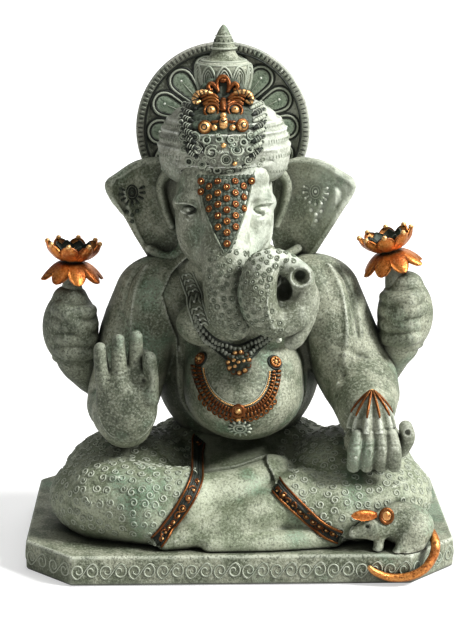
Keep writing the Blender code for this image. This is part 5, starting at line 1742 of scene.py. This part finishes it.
def crest(spot_at):
    """A mask-like crest: ribbed brow horns, ringed eyes, a nose, round cheeks, lobes above."""
    copper, dark = Relief(), Relief()

    def line_at(places, lift, steps=5):
        hits = [spot_at(across, up, lift) for across, up in flow(places, steps)]
        return lifted(hits)

    def cord(places, lift, radius, tips=0.4, sides=8):
        copper.cord(*line_at(places, lift), radius, sides=sides, tips=tips)

    x = CREST_MIDDLE
    for s, cheek_z in ((-1, -15.7), (1, -14.6)):
        eye, way = spot_at(x + s * 7.6, -4.6, 1.8)
        copper.bead(eye, way, 2.9, height=0.95, sides=16, rings=8)
        dark.bead(eye + way * 2.3, way, 0.8)
        dark.ring(eye - way * 0.9, way, 3.5, 0.9, steps=20)
        copper.ring(eye - way * 0.2, way, 4.7, 0.95, steps=24)
        mound, way = spot_at(x + s * 8.2, 2.0, -0.5)
        copper.bead(mound, way, 6.0, height=0.35, sides=18, rings=8)
        for i in range(4):
            base = -0.4 + 2.15 * i
            spread = 1 + 0.06 * i
            arch = [
                (x + s * 2.6 * spread, base - 1.8), (x + s * 5.4 * spread, base + 0.8),
                (x + s * 9.0 * spread, base + 1.2), (x + s * 12.8 * spread, base - 1.0),
            ]
            cord(arch, 1.9 + 0.3 * i, 1.15, tips=0.6, sides=10)
            if i < 3:
                groove, ways = line_at([(a, b + 1.1) for a, b in arch], 1.6 + 0.3 * i)
                dark.cord(groove, ways, 0.55)
        curl = [
            (x + s * 8.0, 7.6), (x + s * 12.5, 8.6), (x + s * 16.6, 7.4), (x + s * 18.8, 4.4),
            (x + s * 17.8, 1.6), (x + s * 15.6, 2.4),
        ]
        points, ways = line_at(curl, 2.6)
        shares = np.linspace(0, 1, len(points))
        sizes = np.interp(shares, (0, 0.4, 0.75, 1), (1.6, 2.3, 1.8, 1.1))
        for point, way_out, size in zip(points, ways, sizes):
            copper.bead(point, way_out, size, height=0.85, sides=12, rings=6)
        for i in range(2, len(points) - 3, 3):
            along = points[i + 1] - points[i - 1]
            dark.ring(points[i] + ways[i] * 0.1, along, 2.1, 0.3, steps=14, sides=5)
        cheek, way = spot_at(x + s * 12.0, cheek_z, 0.8)
        copper.bead(cheek, way, 3.9, height=0.85, sides=18, rings=8)
        copper.ring(cheek + way * 0.4, way, 3.7, 1.0, steps=22)
        dark.ring(cheek + way * 2.7, way, 1.7, 0.55, steps=14)
        lobe, way = spot_at(x + s * 5.9, -16.2, 1.0)
        copper.bead(lobe, way, 2.2, height=0.9, sides=12)
        cord([(x + s * 2.6, -12.4), (x + s * 5.2, -13.4), (x + s * 8.4, -13.0)], 1.5, 1.2)
        loop = [
            (x + s * 2.8, 8.6), (x + s * 5.0, 12.4), (x + s * 7.8, 14.6), (x + s * 9.8, 12.8),
            (x + s * 8.8, 10.2), (x + s * 6.8, 10.6),
        ]
        cord(loop, 1.8, 1.5, tips=0.6, sides=10)
    cord(
        [
            (-2.4, 8.4), (-3.6, 13.2), (-2.2, 17.8), (0.6, 19.4), (3.4, 17.8), (4.8, 13.2),
            (3.6, 8.4),
        ],
        1.8, 1.5, tips=0.8, sides=10,
    )
    cord([(-1.6, 17.0), (0.6, 16.2), (2.8, 17.0)], 2.8, 1.5, sides=10)
    cord([(0.6, 4.6), (0.6, 0.0), (0.6, -6.0)], 2.2, 2.1, tips=0.8, sides=12)
    for s in (-1, 1):
        groove, ways = line_at([(x + s * 2.5, 5.0), (x + s * 2.3, 0), (x + s * 2.5, -6.0)], 1.6)
        dark.cord(groove, ways, 0.7)
    bridge, way = spot_at(x, -8.8, 1.6)
    copper.bead(bridge, way, 2.3, height=1.0, sides=12)
    nose, way = spot_at(x, -14.0, 1.4)
    for step, size in ((0.0, 3.1), (-1.6, 3.0), (1.6, 2.6)):
        copper.bead(nose + UP * step, way, size, height=0.9, sides=16, rings=8)
    dark.ring(nose + way * 2.6, way, 1.5, 0.5, steps=14)
    copper.bead(*spot_at(x, -28, 0.8), 1.8, height=0.9)
    copper.bead(*spot_at(7.8, -39.4, 1.0), 1.6)
    for z in np.arange(-19, 17, 3.0):
        for across in np.arange(-16.5, 18, 3.0):
            if abs(across - x) > 17.5 - 0.75 * max(0, z - 3) or (abs(across - x) > 15 and z < -14):
                continue
            spot, way = spot_at(across, z, -0.9)
            dark.bead(spot, way, 4.6, height=0.3, sides=10, rings=5)
    copper.build("crest_copper", COPPER, ["crown_crest"])
    dark.build("crest_ground", DARK_PATINA)


def brow_beads(skin):
    """A dark triangular ground with rows of ringed copper beads."""
    copper, ground = Relief(), Relief()
    counts = {0: 6, 1: 5, 2: 3, 3: 1}
    for column in range(-3, 4):
        for row in range(counts[abs(column)] + (column == -3)):
            x = HEAD_X + 0.8 + 5.5 * column
            z = (261.4 if abs(column) % 2 else 258.2) - 6.85 * row
            spot, way = from_front(skin, x, z)
            copper.ring(spot + way * 1.0, way, 1.75, 0.75, sides=7, steps=14)
            copper.bead(spot + way * 1.1, way, 0.95, height=1.0, sides=8)
            ground.bead(spot, way, 3.0, height=0.36, sides=12)
    for row, z in enumerate(np.arange(264, 219, -2.6)):
        half = np.interp(z, (217, 229, 246, 268), (0.4, 6.2, 12.6, 18.6))
        for x in np.arange(-half, half + 0.1, 2.7) + 0.6 * (row % 2):
            spot, way = from_front(skin, HEAD_X + 0.5 + x, z)
            ground.bead(spot - way * 0.2, way, 2.1, height=0.42, sides=7, rings=4)
    copper.build("brow_beads", COPPER, ["brow_panel"])
    ground.build("brow_ground", DARK_PATINA)


# A petal's edge, across and up, each as a share.
PETAL_BORDER = (
    (-0.75, 0.0), (-1.0, 0.3), (-0.95, 0.6), (-0.6, 0.85), (0, 1.0), (0.6, 0.85), (0.95, 0.6),
    (1.0, 0.3), (0.75, 0.0),
)


def dome_and_finial():
    """A dome with a ring of nested petals, and a banded spike."""
    base = middle("crown_dome")
    foot = np.array((base[0], base[1] + 1.0, 0))
    dome_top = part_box("crown_dome")[1][2] / MM
    relief, lines, dark = Relief(), Relief(), Relief()
    profile = [
        (13.5, 299), (15.4, 308), (17.0, 316), (18.6, 323), (19.2, 328), (18.6, 332),
        (16.4, dome_top - 0.4), (12, dome_top),
    ]
    turned(relief, foot, flow(profile, 4), steps=64)
    heights, radii = [p[1] for p in profile], [p[0] for p in profile]

    def on_dome(angle, z, lift=0.3):
        radius = np.interp(z, heights, radii) + lift
        return foot + (radius * math.cos(angle), radius * math.sin(angle), z)

    count = 11
    for i in range(count):
        angle = TAU * (i + 0.25) / count
        way = np.array((math.cos(angle), math.sin(angle), 0.1))
        for scale, thickness in ((1.0, 0.85), (0.7, 0.6), (0.42, 0.5)):
            places = [
                (angle + 0.27 * scale * across, 316 + 17 * up * (0.55 + 0.45 * scale))
                for across, up in PETAL_BORDER
            ]
            arc = np.array([on_dome(a, z) for a, z in flow(places, 3)])
            lines.cord(arc, way, thickness, sides=6, tips=0.8)
        groove = np.array([on_dome(angle + TAU / count / 2, z, 0.1) for z in (314, 320, 326, 331)])
        dark.cord(groove, way, 0.8, sides=5)
        lines.cord([on_dome(angle, z, 0.4) for z in (316, 319, 322)], way, 0.6, sides=5)
    hoop = np.array([on_dome(TAU * t / 72, 333.4, 0.2) for t in range(72)])
    lines.cord(hoop, hoop - foot * (1, 1, 0) - (0, 0, 333), 0.7, sides=6, closed=True)
    relief.build("dome_casting", PATINA, ["crown_dome"])
    lines.build("dome_petals", RAISED_LINES)
    spike, bands = Relief(), Relief()
    low, high = dome_top - 1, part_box("finial")[1][2] / MM
    tall = high - low
    spine = [
        (15.6, 0), (14.8, 0.05), (11.0, 0.12), (8.8, 0.22), (7.7, 0.32), (7.9, 0.38), (7.5, 0.44),
        (7.0, 0.50), (5.9, 0.62), (4.6, 0.74), (2.9, 0.87), (1.4, 0.95), (0.5, 0.985),
    ]
    turned(spike, foot, flow(spine, 4) * (1, tall) + (0, low), steps=48)
    for radius, rise, thickness in (
        (15.2, 0.04, 0.8), (8.3, 0.37, 0.8), (6.9, 0.51, 0.5), (5.2, 0.69, 0.5)
    ):
        height = low + tall * rise
        turns = [TAU * t / 48 for t in range(48)]
        hoop = np.array(
            [foot + (radius * math.cos(a), radius * math.sin(a), height) for a in turns]
        )
        bands.cord(hoop, hoop - foot * (1, 1, 0) - (0, 0, height), thickness, sides=6, closed=True)
    for i in range(12):
        angle = TAU * i / 12
        way = np.array((math.cos(angle), math.sin(angle), 0.2))
        rows = [(7.1, 0.47, -0.16), (6.2, 0.6, 0.0), (7.1, 0.47, 0.16)]
        line = [
            foot + (r * math.cos(angle + turn), r * math.sin(angle + turn), low + tall * h)
            for r, h, turn in rows
        ]
        dark.cord(line, way, 0.5, sides=5)
    spike.build("finial_casting", PATINA, ["finial"])
    bands.build("finial_bands", RAISED_LINES)
    dark.build("dome_grooves", DARK_PATINA)


def halo():
    """A round plate with a notched rim and a ring of keyhole petals with pale outlines."""
    low, high = corners_of("halo")
    centre = (low + high) / 2
    radius = (high[0] - low[0]) / 2
    face = low[1]
    rounding = 1.2
    clay = Clay(low - 4, high + 4, 0.9)

    def distance(x, y, z):
        reach = np.sqrt((x - centre[0]) ** 2 + (z - centre[2]) ** 2)
        dish = 2.4 * (1 / (1 + np.exp(-(radius - 6.5 - reach) * 1.6)))
        flat = reach - radius + rounding
        deep = np.maximum(face + dish + rounding - y, y - high[1] + rounding)
        return edged(flat, deep, rounding)

    clay.lay((low, high, distance), blend=0)
    clay.dig(
        chain([(centre[0], low[1] - 3, centre[2]), (centre[0], high[1] + 3, centre[2])], 3.3),
        blend=0,
    )
    cast("halo_plate", clay, HALO_PATINA, ["halo"])
    lines, dark, green = Relief(), Relief(), Relief()
    way = np.array((0.0, -1.0, 0.0))

    def on_face(r, across, angle, lift):
        return centre * (1, 0, 1) + (
            r * math.cos(angle) - across * math.sin(angle), face + lift,
            r * math.sin(angle) + across * math.cos(angle),
        )

    def petal_line(half, grow, angle, lift):
        crown = radius - 16.5
        outline = [
            (crown - 21 - grow, -(3.0 + grow)), (crown - 9, -half * 0.78), (crown - 2, -half * 0.98)
        ]
        outline += [
            (crown + half * math.sin(a), -half * math.cos(a))
            for a in np.linspace(0.15, math.pi - 0.15, 11)
        ]
        outline += [
            (crown - 2, half * 0.98), (crown - 9, half * 0.78), (crown - 21 - grow, 3.0 + grow)
        ]
        return np.array([on_face(r, across, angle, lift) for r, across in outline])

    count = 14
    for i in range(count):
        angle = TAU * (i + 0.08) / count
        for half, grow, thickness, relief in (
            (8.0, 0.0, 0.95, lines), (6.6, -1.0, 0.7, dark), (9.6, 1.2, 0.75, dark)
        ):
            line = petal_line(half, grow, angle, 2.1)
            relief.cord(line, way, thickness, sides=6, tips=0.7)
        for inwards, size in ((16.5, 7.4), (20.5, 6.8), (24.5, 5.8), (28.5, 4.8), (32.5, 3.9)):
            green.bead(
                on_face(radius - inwards, 0, angle, 2.3), way, size, height=0.08, sides=18, rings=4
            )
        rib = np.array([on_face(radius - 31 + t, 0, angle, 1.9) for t in (0, 5, 10, 13)])
        lines.cord(rib, way, 0.6, sides=5)
        lines.bead(on_face(radius - 16.5, 0, angle, 2.1), way, 1.1, height=0.6, sides=8)
    notches = 112
    for i in range(notches):
        angle = TAU * i / notches
        line = np.array(
            [on_face(r, 0, angle, 0.3) for r in (radius - 5.2, radius - 3.2, radius - 1.4)]
        )
        lines.cord(line, way, 0.85, sides=6)
        half = angle + TAU / notches / 2
        line = np.array(
            [on_face(r, 0, half, -0.1) for r in (radius - 5.0, radius - 3.2, radius - 1.3)]
        )
        dark.cord(line, way, 0.7, sides=5)
    hoop = np.array([on_face(radius - 6.4, 0, TAU * t / 96, 0.5) for t in range(96)])
    dark.cord(hoop, way, 0.7, sides=6, closed=True)
    back = np.array((0.0, 1.0, 0.0))
    for r in (radius - 3, radius - 9, 12, 24):
        hoop = np.array(
            [
                centre * (1, 0, 1) + (
                    r * math.cos(TAU * t / 96), high[1] - 0.1, r * math.sin(TAU * t / 96)
                )
                for t in range(96)
            ]
        )
        lines.cord(hoop, back, 0.8, sides=6, closed=True)
    green.build("halo_petal_faces", PETAL_PATINA)
    lines.build("halo_petals", RAISED_LINES)
    dark.build("halo_grooves", DARK_PATINA)


# ---------------------------------------------------------------- jewellery


def torso_jewellery(torso):
    """All that is worn on the chest and the belly."""
    skin = skin_of(torso)
    necklace_and_medallion(skin)
    belly_chain(skin)
    collar_leaves(skin)


def necklace_and_medallion(skin):
    """Two rows of drop beads that meet at a round cluster."""
    white, copper, dark = Relief(), Relief(), Relief()
    string = [
        (-29, 166), (-25, 159), (-17, 150), (-8, 144.5), (-1, 142.5), (7, 145), (15, 151),
        (21.5, 158), (24, 163),
    ]
    for drop, size in ((-2.3, 1.75), (2.3, 1.95)):
        path = flow([(x, z - drop) for x, z in string], 12)
        spots, ways = front_line(skin, path, 0.7)
        lengths = np.concatenate(((0,), np.cumsum(np.linalg.norm(np.diff(spots, axis=0), axis=1))))
        for place in np.arange(0, lengths[-1], 3.3):
            spot = np.array([np.interp(place, lengths, spots[:, i]) for i in range(3)])
            way = np.array([np.interp(place, lengths, ways[:, i]) for i in range(3)])
            line = np.array([spot + UP * t for t in (-1.5, -0.5, 0.5, 1.5)])
            white.cord(line, way, size * 0.78, sides=7, tips=0.7)
    for drop in (-4.8, 0.0, 4.9):
        spots, ways = front_line(skin, flow([(x, z - drop) for x, z in string], 10), 0.2)
        dark.cord(spots, ways, 0.75)
    white.build("necklace_beads", CHALK_BEADS, ["necklace"])
    centre, way = front_of(skin, "medallion", across=0.5)
    side, other = tangents(way)
    for radius, count in ((7.0, 11), (3.6, 5), (0.0, 1)):
        for i in range(count):
            angle = TAU * i / count + 0.3
            spot = centre + radius * (
                math.cos(angle) * side + 1.12 * math.sin(angle) * other
            ) + way * 1.3
            (copper if (i * 7 + count) % 3 else dark).bead(spot, way, 1.45, height=0.9, sides=8)
            copper.ring(spot - way * 0.4, way, 1.6, 0.42, steps=12, sides=5)
    dark.bead(centre, way, 8.8, height=0.2, sides=24)
    copper.build("medallion_beads", COPPER, ["medallion"])
    dark.build("necklace_ground", DARK_PATINA)


def belly_chain(skin):
    """A broad chain in a U: an inner strand, two rows of links set crosswise, rings and bosses."""
    links, fringe, bosses, pale, dark = Relief(), Relief(), Relief(), Relief(), Relief()
    right_end, left_end = middle("right_rosette"), middle("left_rosette")
    cx, cz = middle("chain_boss")[0] - ORIGIN[0], right_end[2] - 3.0
    reach = (left_end[0] - right_end[0]) / 2
    drop = cz - middle("chain_boss")[2]

    def on_chain(angle, offset):
        lean = 1 - 0.04 * math.cos(angle)
        return from_front(
            skin, cx + (reach + offset) * lean * math.cos(angle),
            cz + (drop + offset) * math.sin(angle),
        )

    def rib(relief, angle, inner, outer, radius, lift):
        hits = [on_chain(angle, offset) for offset in np.linspace(inner, outer, 4)]
        relief.cord(*lifted(hits, lift), radius, sides=7, tips=0.75)

    sweep = np.linspace(math.pi * 1.03, TAU * 0.985, 40)
    for angle in sweep:
        rib(links, angle, -1.4, 1.1, 0.92, 0.9)
    for angle in np.linspace(sweep[0], sweep[-1], 34):
        rib(links, angle, 2.1, 4.9, 1.15, 0.8)
    for angle in np.linspace(sweep[0], sweep[-1], 64):
        spot, way = on_chain(angle, -2.9)
        links.bead(spot + way * 0.5, way, 0.8, sides=6, rings=4)
    for offset, radius in ((1.55, 0.5), (5.4, 0.45), (-3.9, 0.45)):
        hits = [on_chain(angle, offset) for angle in np.linspace(sweep[0], sweep[-1], 60)]
        (links if offset > -3 else pale).cord(*lifted(hits, 0.6), radius)
    for angle in np.linspace(math.pi * 1.22, TAU * 0.89, 15):
        spot, way = on_chain(angle, 7.0)
        fringe.ring(spot + way * 0.5, way, 1.6, 0.6, steps=14)
        dark.bead(spot, way, 1.7, height=0.4, sides=8)
    for node, size in (("chain_boss", 4.7), ("right_rosette", 4.1), ("left_rosette", 4.1)):
        spot, way = front_of(skin, node)
        bosses.ring(spot + way * 1.2, way, size * 0.82, 1.15, steps=22)
        bosses.bead(spot + way * 1.4, way, size * 0.42, height=0.9, sides=12)
        bosses.bead(spot, way, size, height=0.3, sides=16)
        if node != "chain_boss":
            for i in range(6):
                side, other = tangents(way)
                angle = TAU * i / 6
                bosses.bead(
                    spot + size * 0.62 * (
                        math.cos(angle) * side + math.sin(angle) * other
                    ) + way * 1.7,
                    way, 0.8, sides=6, rings=4,
                )
            dark.ring(spot + way * 0.2, way, size + 0.8, 0.7, steps=20)
    spot, way = front_of(skin, "chain_boss", up=-6.4)
    bosses.bead(spot + way * 0.8, way, 1.7, height=0.8)
    links.build("belly_chain_links", COPPER, ["belly_chain"])
    fringe.build("belly_chain_fringe", COPPER)
    bosses.build("chain_bosses", COPPER, ["chain_boss", "right_rosette", "left_rosette"])
    spot, way = front_of(skin, "pendant_flower", across=1)
    side, other = tangents(way)
    for i in range(12):
        angle = TAU * i / 12
        out = math.cos(angle) * side + math.sin(angle) * other
        line = np.array([spot + out * t + way * 0.7 for t in (5.0, 6.6, 8.2)])
        pale.cord(line, way, 1.05, sides=6, tips=0.6)
    pale.ring(spot + way * 0.9, way, 4.1, 0.8, steps=22)
    pale.ring(spot + way * 0.9, way, 2.2, 0.6, steps=16)
    dark.bead(spot - way * 0.4, way, 7.6, height=0.2, sides=24)
    pale.build("pendant_petals", RAISED_LINES, ["pendant_flower"])
    dark.build("chain_ground", DARK_PATINA)


def collar_leaves(skin):
    """A sash of leaves from each side of the neck down the breast."""
    leaves = Relief()
    for side in (-1, 1):
        path = flow(
            [
                (2 + side * 38, 193), (2 + side * 34, 182), (2 + side * 30, 172),
                (2 + side * 27, 163),
            ],
            6,
        )
        along, across = along_and_across(path)
        for offset in (-5.2, 5.2):
            spots, ways = front_line(skin, path + across * offset, 0.4)
            leaves.cord(spots, ways, 0.7)
        for i in range(1, len(path) - 1, 2):
            for hand in (-1, 1):
                tip = path[i] + across[i] * hand * 4.0 + along[i] * 2.0
                line = flow([path[i], path[i] + across[i] * hand * 2.4 - along[i] * 0.6, tip], 4)
                spots, ways = front_line(skin, line, 0.5)
                leaves.cord(spots, ways, 0.8, tips=0.4)
            spot, way = from_front(skin, *path[i])
            leaves.bead(spot + way * 0.5, way, 1.0, sides=6, rings=4)
    leaves.build("collar_leaves", RAISED_LINES)


def back_drape(torso):
    """The folds of a shawl down the back, with a beaded edge and a waist cord."""
    skin = skin_of(torso)
    folds, trim = Relief(), Relief()

    def down_the_back(places, lift):
        hits = [facing(skin, at(x, 120, z), (0, -1, 0)) for x, z in flow(places, 10)]
        return lifted(hits, lift)

    for side in (-1, 1):
        for top, foot, radius in ((9, 24, 1.3), (17, 35, 1.0), (25, 46, 1.3)):
            folds.cord(
                *down_the_back(
                    [(side * top, 190), (side * (top + foot) * 0.54, 146), (side * foot, 94)], 0.2
                ),
                radius, sides=8,
            )
        line, ways = down_the_back([(side * 3, 188), (side * 8, 146), (side * 14, 98)], 0.4)
        trim.cord(line, ways, 0.8)
        for spot, way in list(zip(line, ways))[::2]:
            trim.bead(spot + way * 0.5, way, 1.3, sides=8)
    line, ways = down_the_back([(-44, 99), (-20, 94), (0, 92.5), (20, 94), (44, 99)], 0.3)
    trim.cord(line, ways, 1.2)
    folds.build("shawl_folds", PATINA)
    trim.build("shawl_trim", SCROLL_LINES)


# ---------------------------------------------------------------- mouse


def sculpt_mouse():
    """A crouching mouse with its nose towards the figure's right."""
    body = middle("mouse")
    clay = Clay(body + (-42, -24, -15), body + (34, 26, 22), 0.75)
    clay.lay(egg(body + (8, 1, 1), (20, 15, 14.5), turn=(0, 6, -12)), blend=3)
    clay.lay(egg(body + (13, -7, -3), (12, 10, 12)), blend=4)
    clay.lay(chain_from(body, [(-6, -5, 3, 9.5), (-14, -9, 2, 8.6), (-27, -12, -1, 3.4)]), blend=4)
    clay.lay(chain_from(body, [(-8, -9, -4, 4.2), (-11, -12, -11.5, 3.4)]), blend=2)
    clay.lay(chain_from(body, [(7, -12, -6, 5.2), (2, -15, -12, 3.6)]), blend=2)
    clay.lay(chain_from(body, [(16, -12, -9, 4.6), (8, -15.5, -12.4, 3.2)]), blend=2)
    clay.dig(egg(body + (-3, -16, -8), (4.4, 9, 4.2)), blend=1.5)
    clay.dig(egg(body + (-18, -14, -9), (4.4, 8, 2.6)), blend=1.5)
    for side in (-1, 1):
        clay.dig(egg(body + (-18.5, -15.5 if side < 0 else -3, 5), (1.6, 1.6, 1.3)), blend=0.6)
    clay.trim(2, DECK + 0.4, 1)
    return cast("mouse_body", clay, PATINA, ["mouse"])


def mouse_trim():
    """Its copper ears, and its tail round and over the plinth's front edge."""
    body = middle("mouse")
    ears = Relief()
    petal_rows = [
        (0, 0, 1.6, 0.2), (4.5, 1.6, 3.4, 1.1), (10, 3.0, 3.6, 1.4), (15, 3.2, 2.0, 0.7),
        (17, 3.0, 0.5, 0.1),
    ]
    lying = turn_matrix((78, 0, 0))
    petal(ears, body + (-12, -12.5, 12), lying, math.pi, petal_rows, 2.0)
    ring_centre = body + (-5.5, -13.5, 11.5)
    ears.ring(ring_centre, (0.1, -1, 0.25), 4.0, 1.3, sides=8, steps=24, stretch=1.15)
    ears.bead(ring_centre, (0.1, -1, 0.25), 3.6, height=0.3, sides=14)
    ears.build("mouse_ears", COPPER, ["mouse_right_ear", "mouse_left_ear"])
    low, high = corners_of("mouse_tail")
    front = low[1] + 3
    rows = [
        (body[0] + 22, body[1] + 4, 31, 3.4), (body[0] + 26, body[1] - 4, 29.5, 3.3), (
            body[0] + 27.5, body[1] - 13, 25, 3.2
        ),
        (
            body[0] + 25.5, front + 6, 17.5, 3.1
        ), (body[0] + 19, front + 1.5, 10.5, 3.0), (body[0] + 9, front, 6.2, 3.0),
        (body[0] - 3, front, 5.6, 2.8), (body[0] - 13, front, 9.4, 2.4), (
            body[0] - 17, front + 0.3, 12.6, 1.7
        ),
    ]
    clay = Clay(low - 5, high + 5, 0.7)
    clay.lay(rope(rows, 6), blend=0)
    cast("mouse_tail_copper", clay, COPPER, ["mouse_tail"])


# ---------------------------------------------------------------- studio


# Brightness, as the strength of white light.
ROOM_GLOW = 0.20
FLOOR_GLOW = 0.52
FLOOR_PAINT = (0.6, 0.6, 0.59)
FLOOR_SIZE = 20
FLOOR_DROP = 0.0005
KEY_DIRECTION = (1.0, -0.34, 0.86)
KEY_ENERGY = 6.0
KEY_SPREAD = 16
# Where the camera stands and what it looks at, from the middle of the plinth's underside.
EYE = (-28.8, -1267.9, 465.8)
AIM = (-0.7, 0, 162.5)
LENS = 108.3
FILM = 36


def room():
    """A white backdrop that gives little light of its own."""
    scene = bpy.context.scene
    scene.view_settings.view_transform = "Standard"
    world = bpy.data.worlds.new("studio")
    scene.world = world
    world.use_nodes = True
    tree = world.node_tree
    backdrop = tree.nodes["Background"]
    backdrop.inputs["Color"].default_value = (1, 1, 1, 1)
    seen = tree_node(tree, "LightPath").outputs["Is Camera Ray"]
    wire(tree, figure(tree, "MAXIMUM", seen, ROOM_GLOW), backdrop.inputs["Strength"])


def white_floor():
    """A matt floor that the camera sees as near white."""
    grid = bmesh.new()
    bmesh.ops.create_grid(grid, x_segments=1, y_segments=1, size=FLOOR_SIZE)
    mesh = bpy.data.meshes.new("floor")
    grid.to_mesh(mesh)
    grid.free()
    floor = bpy.data.objects.new("floor", mesh)
    floor.location = (0, 0, -FLOOR_DROP)
    bpy.context.scene.collection.objects.link(floor)
    paint = bpy.data.materials.new("floor_paint")
    paint.use_nodes = True
    tree = paint.node_tree
    shader = tree.nodes["Principled BSDF"]
    shader.inputs["Base Color"].default_value = (*FLOOR_PAINT, 1)
    shader.inputs["Roughness"].default_value = 0.9
    shader.inputs["Emission Color"].default_value = (1, 1, 1, 1)
    seen = tree_node(tree, "LightPath").outputs["Is Camera Ray"]
    wire(tree, figure(tree, "MULTIPLY", seen, FLOOR_GLOW), shader.inputs["Emission Strength"])
    mesh.materials.append(paint)


def lights():
    """A low sun from the figure's left, and three soft lamps. Places in metres."""
    sun = bpy.data.lights.new("key", "SUN")
    sun.energy = KEY_ENERGY
    sun.angle = math.radians(KEY_SPREAD)
    key = bpy.data.objects.new("key", sun)
    key.rotation_euler = Vector(KEY_DIRECTION).to_track_quat("Z", "Y").to_euler()
    bpy.context.scene.collection.objects.link(key)
    lamp("top", place=(0.25, 0.15, 1.3), target=(0, 0, 0.2), size=0.8, power=5)
    lamp("fill", place=(-0.8, -1.3, 0.7), target=(0, 0, 0.15), size=0.9, power=1.3)
    lamp("back", place=(0.3, 1.3, 0.9), target=(0, 0, 0.2), size=1.0, power=5)


def lamp(name, place, target, size, power):
    """A square lamp that faces its target."""
    data = bpy.data.lights.new(name, "AREA")
    data.size = size
    data.energy = power
    obj = bpy.data.objects.new(name, data)
    obj.location = place
    obj.rotation_euler = (Vector(target) - Vector(place)).to_track_quat("-Z", "Y").to_euler()
    bpy.context.scene.collection.objects.link(obj)


def camera():
    """A long lens, from above and a little to the figure's right."""
    data = bpy.data.cameras.new("camera")
    data.lens = LENS
    data.sensor_width = FILM
    data.sensor_fit = "VERTICAL"
    data.sensor_height = FILM
    data.clip_start = 0.05
    obj = bpy.data.objects.new("camera", data)
    eye, aim = Vector(at(*EYE) * MM), Vector(at(*AIM) * MM)
    obj.location = eye
    obj.rotation_euler = (aim - eye).to_track_quat("-Z", "Y").to_euler()
    bpy.context.scene.collection.objects.link(obj)
    bpy.context.scene.camera = obj


# ---------------------------------------------------------------- all together


def dress_hardware():
    """The bolts, the stud and the nut are shown as they were packed, in steel."""
    for node in (*BOLTS, "halo_stud", "halo_nut"):
        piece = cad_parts[node]
        piece.data.materials.clear()
        piece.data.materials.append(STEEL)


def build_all():
    """Every piece, each laid on those before it."""
    sculpt_plinth()
    plinth_scrolls()
    seat = sculpt_seat()
    seat_skin = cloth_swirls(seat)
    hem_bands(seat_skin)
    torso = sculpt_torso()
    torso_jewellery(torso)
    back_drape(torso)
    sculpt_raised_hand()
    sculpt_giving_hand()
    modak()
    bracelet()
    for side in (-1, 1):
        sculpt_rear_arm(side)
        lotus(side)
    head = sculpt_head()
    head_skin = trunk_relief(head)
    brow_beads(head_skin)
    tusk()
    for side in (-1, 1):
        ear_flower(side, sculpt_ear(side))
    cap_skin = skin_of(sculpt_cap())
    spot_at = crown_spots(cap_skin)
    cap_ornament(cap_skin, spot_at)
    crest(spot_at)
    dome_and_finial()
    halo()
    sculpt_mouse()
    mouse_trim()
    dress_hardware()


build_all()
room()
white_floor()
lights()
camera()
